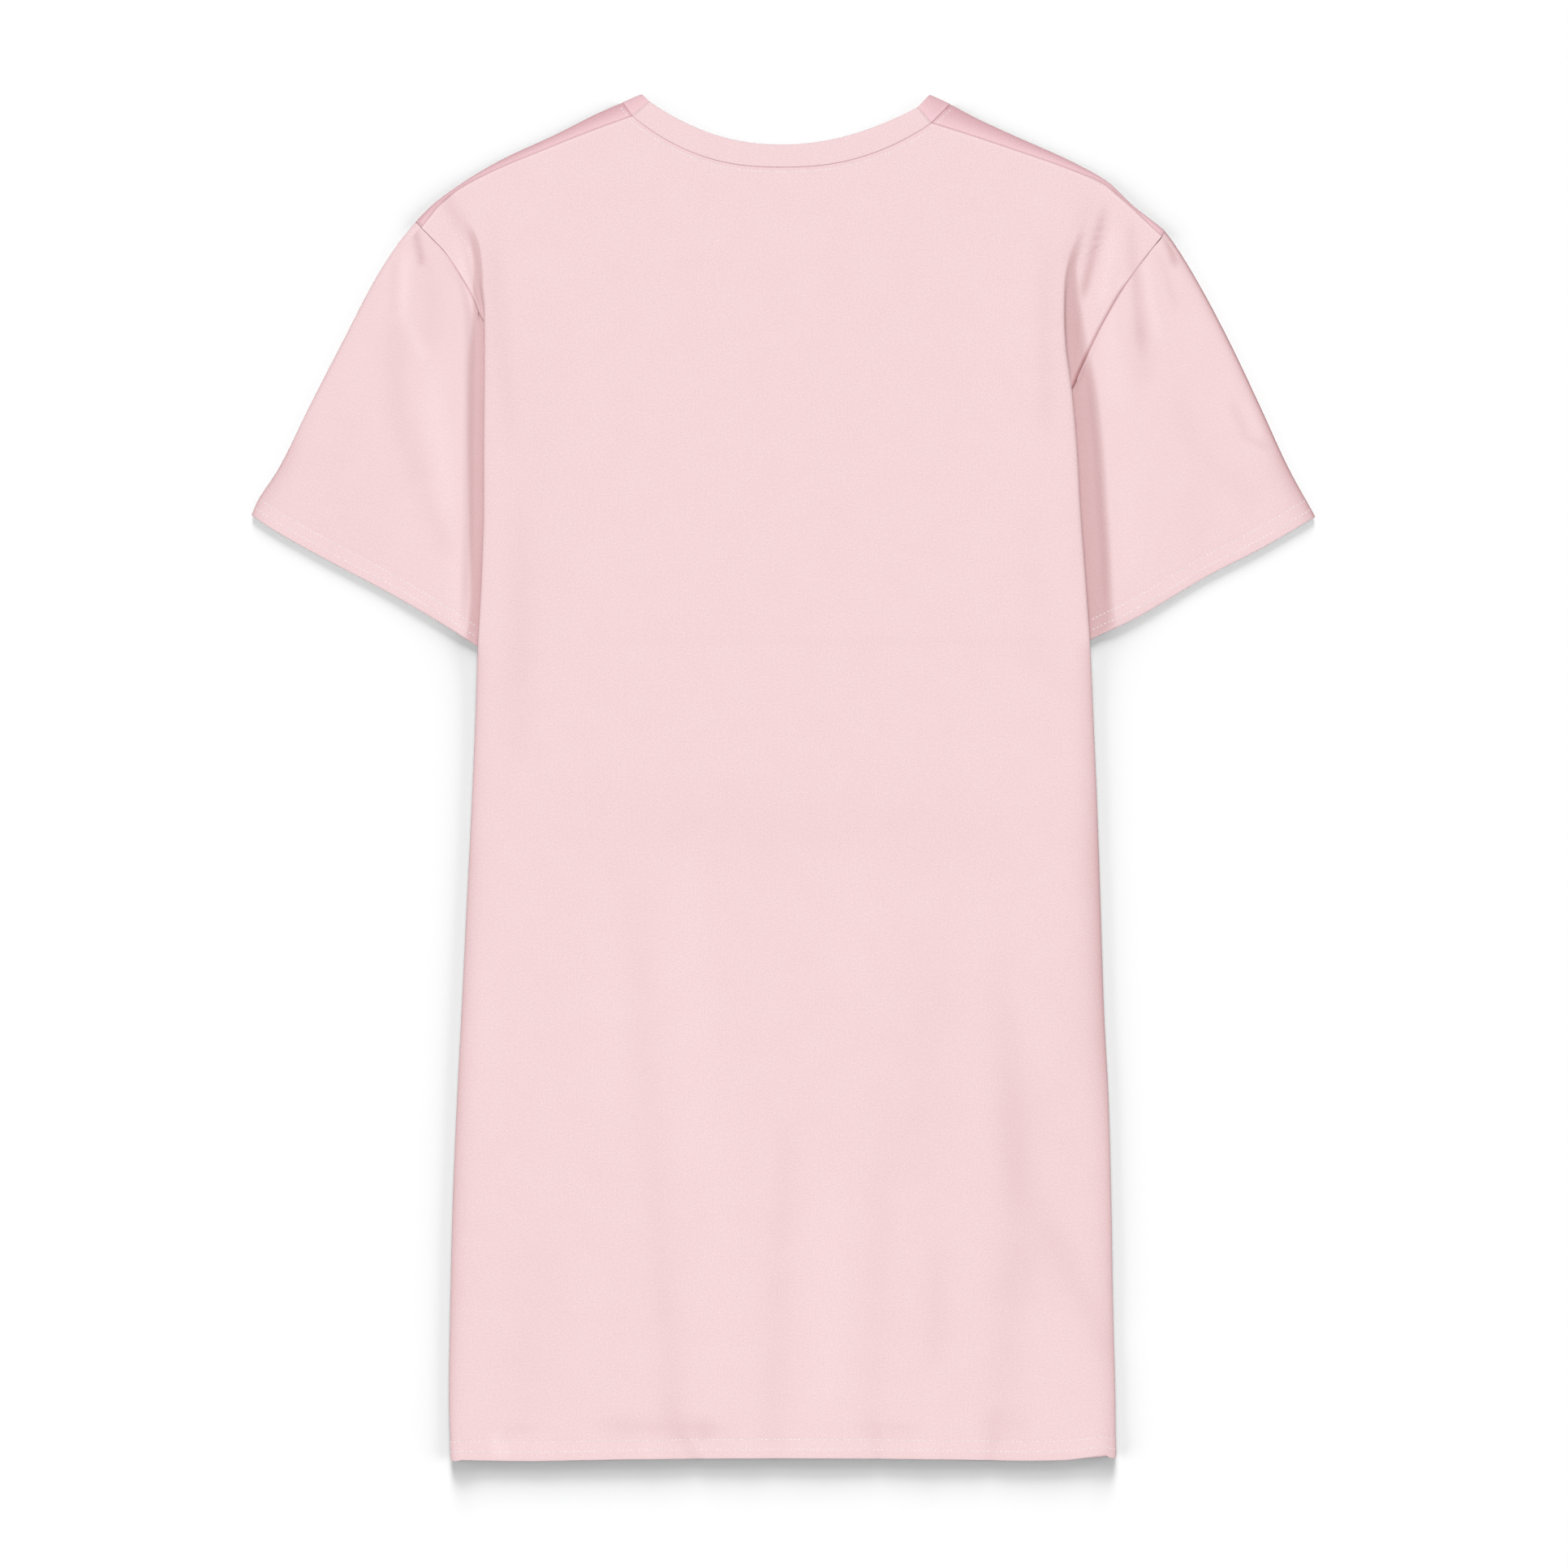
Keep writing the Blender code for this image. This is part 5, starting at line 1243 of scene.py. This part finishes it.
def drop_on(piece, line):
    """Points of a flat line, put down on a piece from above."""
    tree = BVHTree.FromObject(piece, bpy.context.evaluated_depsgraph_get())
    result = []
    for x, y in line:
        hit = tree.ray_cast(Vector((x * MM, y * MM, 0.05)), Vector((0.0, 0.0, -1.0)))[0]
        if hit is not None:
            result.append((x, y, hit.z / MM))
    return result


def neck_stitch_line():
    """Line beside the neck seam, on the back panel."""
    xs = np.linspace(NECK_SEAM["left"][0] + 1.0, NECK_SEAM["right"][0] - 1.0, 160)
    line = np.array([(x, neck_curve(NECK_SEAM, x)) for x in xs])
    ahead = np.gradient(line, axis=0)
    ahead /= np.linalg.norm(ahead, axis=1, keepdims=True)
    return line + np.column_stack([ahead[:, 1], -ahead[:, 0]]) * column(NECK_STITCH, 1)(xs)[:, None]


def strip_stitch_line(side):
    """Line beside the rib, on the shoulder strip of the front panel."""
    seam = np.array(NECK_SEAM[side][:2])
    fold = np.array(FRONT_NECK[side])
    away = unit(fold - seam)
    across = np.array((away[1], -away[0]))
    if across[0] * outward(side) < 0.0:
        across = -across
    start, end = seam + across * STRIP_STITCH, fold + across * STRIP_STITCH
    return [mix(start, end, t) for t in np.linspace(0.12, 0.9, 24)]


# ==== materials ====
def new_material(name, settings):
    """Material with some of its shader's sockets set; also its node tree and the shader."""
    material = bpy.data.materials.new(name)
    material.use_nodes = True
    shader = material.node_tree.nodes["Principled BSDF"]
    for socket, value in settings.items():
        shader.inputs[socket].default_value = value
    return material, material.node_tree, shader


def plug(tree, socket, value):
    """Links a socket to an output, or sets it to a number or colour."""
    if hasattr(value, "links"):
        tree.links.new(value, socket)
    else:
        socket.default_value = value


def noise_node(tree, source, scale, stretch=(1.0, 1.0, 1.0), detail=2.0):
    """Noise with a scale of its own, which may differ along each axis."""
    mapping = tree.nodes.new("ShaderNodeMapping")
    mapping.inputs["Scale"].default_value = [scale * s for s in stretch]
    tree.links.new(source, mapping.inputs["Vector"])
    texture = tree.nodes.new("ShaderNodeTexNoise")
    texture.inputs["Scale"].default_value = 1.0
    texture.inputs["Detail"].default_value = detail
    tree.links.new(mapping.outputs["Vector"], texture.inputs["Vector"])
    return texture.outputs["Fac"]


def math_node(tree, operation, a, b=0.0):
    node = tree.nodes.new("ShaderNodeMath")
    node.operation = operation
    for socket, value in zip(node.inputs, (a, b)):
        plug(tree, socket, value)
    return node.outputs[0]


def weighted_sum(tree, *terms):
    """Sum of some values, each times its weight."""
    parts = [math_node(tree, "MULTIPLY", value, weight) for value, weight in terms]
    total = parts[0]
    for part in parts[1:]:
        total = math_node(tree, "ADD", total, part)
    return total


def ramp_node(tree, value, low, high):
    """Colour between two others, each given with the value where it begins."""
    ramp = tree.nodes.new("ShaderNodeValToRGB")
    for stop, (position, colour) in zip(ramp.color_ramp.elements, (low, high)):
        stop.position = position
        stop.color = (*colour, 1.0)
    tree.links.new(value, ramp.inputs["Fac"])
    return ramp.outputs["Color"]


def tinted(colour, tint):
    """Colour times a tint."""
    return [min(channel * share, 1.0) for channel, share in zip(colour, tint)]


def mix_node(tree, blend, factor, first, second):
    """Mix of two colours; a factor below 0 goes the other way."""
    node = tree.nodes.new("ShaderNodeMix")
    node.data_type, node.blend_type, node.clamp_factor = "RGBA", blend, False
    sockets = [socket for socket in node.inputs if socket.enabled]
    for socket, value in zip(sockets, (factor, first, second)):
        plug(tree, socket, value)
    return [socket for socket in node.outputs if socket.enabled][0]


def shaded(tree, colour):
    """Colour of the cloth with painted shade: darker and redder where the shade attribute is high, lighter
    (painted highlight) where it is below 0.
    """
    attribute = tree.nodes.new("ShaderNodeAttribute")
    attribute.attribute_name = "shade"
    depth = mix_node(tree, "MIX", attribute.outputs["Fac"], (1.0, 1.0, 1.0, 1.0), (*SHADED, 1.0))
    return mix_node(tree, "MULTIPLY", 1.0, colour, depth)


def jersey(name, colour, rib=False):
    """Knitted cotton: wales along the cloth, grain, soft mottling, a faint nap, and painted shade from its
    shade attribute.
    """
    material, tree, shader = new_material(name, {
        "Roughness": 0.9, "Specular IOR Level": 0.25, "Sheen Weight": 0.12, "Sheen Roughness": 0.5,
        "Sheen Tint": (1.0, 0.93, 0.94, 1.0)})
    coords = tree.nodes.new("ShaderNodeUVMap")
    coords.uv_map = "cloth"
    source = coords.outputs["UV"]
    wales = noise_node(tree, source, 9.0, (1.0, 0.09, 1.0))
    grain = noise_node(tree, source, 10.0, (1.0, 0.9, 1.0), 1.5)
    mottle = noise_node(tree, source, 0.45, detail=3.0)
    tone = weighted_sum(tree, (wales, 0.14), (grain, 0.74), (mottle, 0.12))
    cloth = ramp_node(tree, tone, (0.30, tinted(colour, DARK_GRAIN)), (0.70, tinted(colour, LIGHT_GRAIN)))
    tree.links.new(shaded(tree, cloth), shader.inputs["Base Color"])
    relief = weighted_sum(tree, (wales, 0.25), (grain, 0.75))
    if rib:
        split = tree.nodes.new("ShaderNodeSeparateXYZ")
        tree.links.new(source, split.inputs[0])
        wave = math_node(tree, "SINE", math_node(tree, "MULTIPLY", split.outputs[0], RIB_WAVE))
        relief = math_node(tree, "ADD", relief, math_node(tree, "MULTIPLY", wave, 0.12))
    bump = tree.nodes.new("ShaderNodeBump")
    bump.inputs["Strength"].default_value = 0.35
    bump.inputs["Distance"].default_value = 0.0004
    tree.links.new(relief, bump.inputs["Height"])
    tree.links.new(bump.outputs["Normal"], shader.inputs["Normal"])
    return material


def thread_material():
    """White thread, a little darker between its twists."""
    material, tree, shader = new_material("stitching_thread", {"Roughness": 0.6, "Sheen Weight": 0.1})
    coords = tree.nodes.new("ShaderNodeTexCoord")
    twist = noise_node(tree, coords.outputs["Object"], 900.0, detail=1.0)
    dark = [channel * THREAD_SHADE for channel in THREAD_WHITE]
    tree.links.new(ramp_node(tree, twist, (0.35, dark), (0.60, THREAD_WHITE)), shader.inputs["Base Color"])
    return material


# ==== stage ====
def make_floor():
    """Grey paper under the dress."""
    corners = [(x * PAPER_HALF, y * PAPER_HALF, PAPER_Z) for x, y in ((-1, -1), (1, -1), (1, 1), (-1, 1))]
    floor = to_mesh("studio_floor", corners, [(0, 1, 2, 3)])
    paper = {"Base Color": (PAPER, PAPER, PAPER, 1.0), "Roughness": 1.0, "Specular IOR Level": 0.0}
    floor.data.materials.append(new_material("studio_paper", paper)[0])
    return floor


def make_lights(floor, standing):
    """Sky and lamps; standing holds the pieces that stop the light going past the sleeves."""
    paper, blockers = (bpy.data.collections.new(name) for name in ("paper", "standing cloth"))
    paper.objects.link(floor)
    for piece in standing:
        blockers.objects.link(piece)
    world = bpy.data.worlds.new("studio")
    world.use_nodes = True
    background = world.node_tree.nodes["Background"]
    background.inputs["Color"].default_value = (1.0, 1.0, 1.0, 1.0)
    background.inputs["Strength"].default_value = AMBIENT
    bpy.context.scene.world = world
    for lamp in LAMPS:
        towards = Vector(lamp.towards).normalized()
        light = bpy.data.lights.new(lamp.name, "SUN")
        light.energy = lamp.share * math.pi / towards.z
        light.angle = math.radians(lamp.spread)
        sun = add_object(lamp.name, light)
        sun.rotation_euler = towards.to_track_quat("Z", "Y").to_euler()
        if lamp.falls_on != "all":
            sun.light_linking.receiver_collection = paper
        if "past the sleeves" in lamp.falls_on:
            sun.light_linking.blocker_collection = blockers


def make_camera():
    """Camera straight above the dress, looking down with the neck at the top."""
    data = bpy.data.cameras.new("camera")
    data.sensor_width = SENSOR
    data.lens = SENSOR * CAMERA_AT[2] / FRAME_WIDTH
    camera = add_object("camera", data)
    camera.location = [c * MM for c in CAMERA_AT]
    bpy.context.scene.camera = camera


# ==== main ====
def dress(piece, material, node=None):
    """Gives a piece its material and slot, hangs it under the root body, and hides the CAD part of the node
    that it stands for.
    """
    piece.data.materials.append(material)
    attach(piece, "root")
    if node:
        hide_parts(node)


def main():
    """Makes the dress, its stitches, the paper, the lights and the camera."""
    bpy.context.scene.view_settings.view_transform = "Standard"
    make_camera()
    floor = make_floor()
    pale, deep = jersey("pale_pink_jersey", PALE_PINK), jersey("pink_jersey", DEEP_PINK)
    pale_rib, deep_rib = jersey("pale_pink_rib", PALE_PINK, True), jersey("pink_rib", DEEP_PINK, True)
    thread = thread_material()

    back, back_lines = make_back()
    front = make_front()
    rib_back, rib_front = make_neckband_back(), make_neckband_front()
    make_lights(floor, (back, front))
    dress(back, pale, "back")
    dress(front, deep, "front")
    dress(rib_back, pale_rib, "neckband_back")
    dress(rib_front, deep_rib, "neckband_front")

    hem = stitches("hem_stitching", back_lines)
    dress(hem, thread)
    neck = stitches("neck_stitching", [drop_on(back, neck_stitch_line())])
    dress(neck, thread)
    strips = stitches("strip_stitching", [drop_on(front, strip_stitch_line(side)) for side in SIDES])
    dress(strips, thread)

    for side in SIDES:
        sleeve, lines = make_sleeve(side)
        dress(sleeve, pale, f"sleeve_{side}")
        cuff = stitches(f"cuff_stitching_{side}", lines)
        dress(cuff, thread)


main()
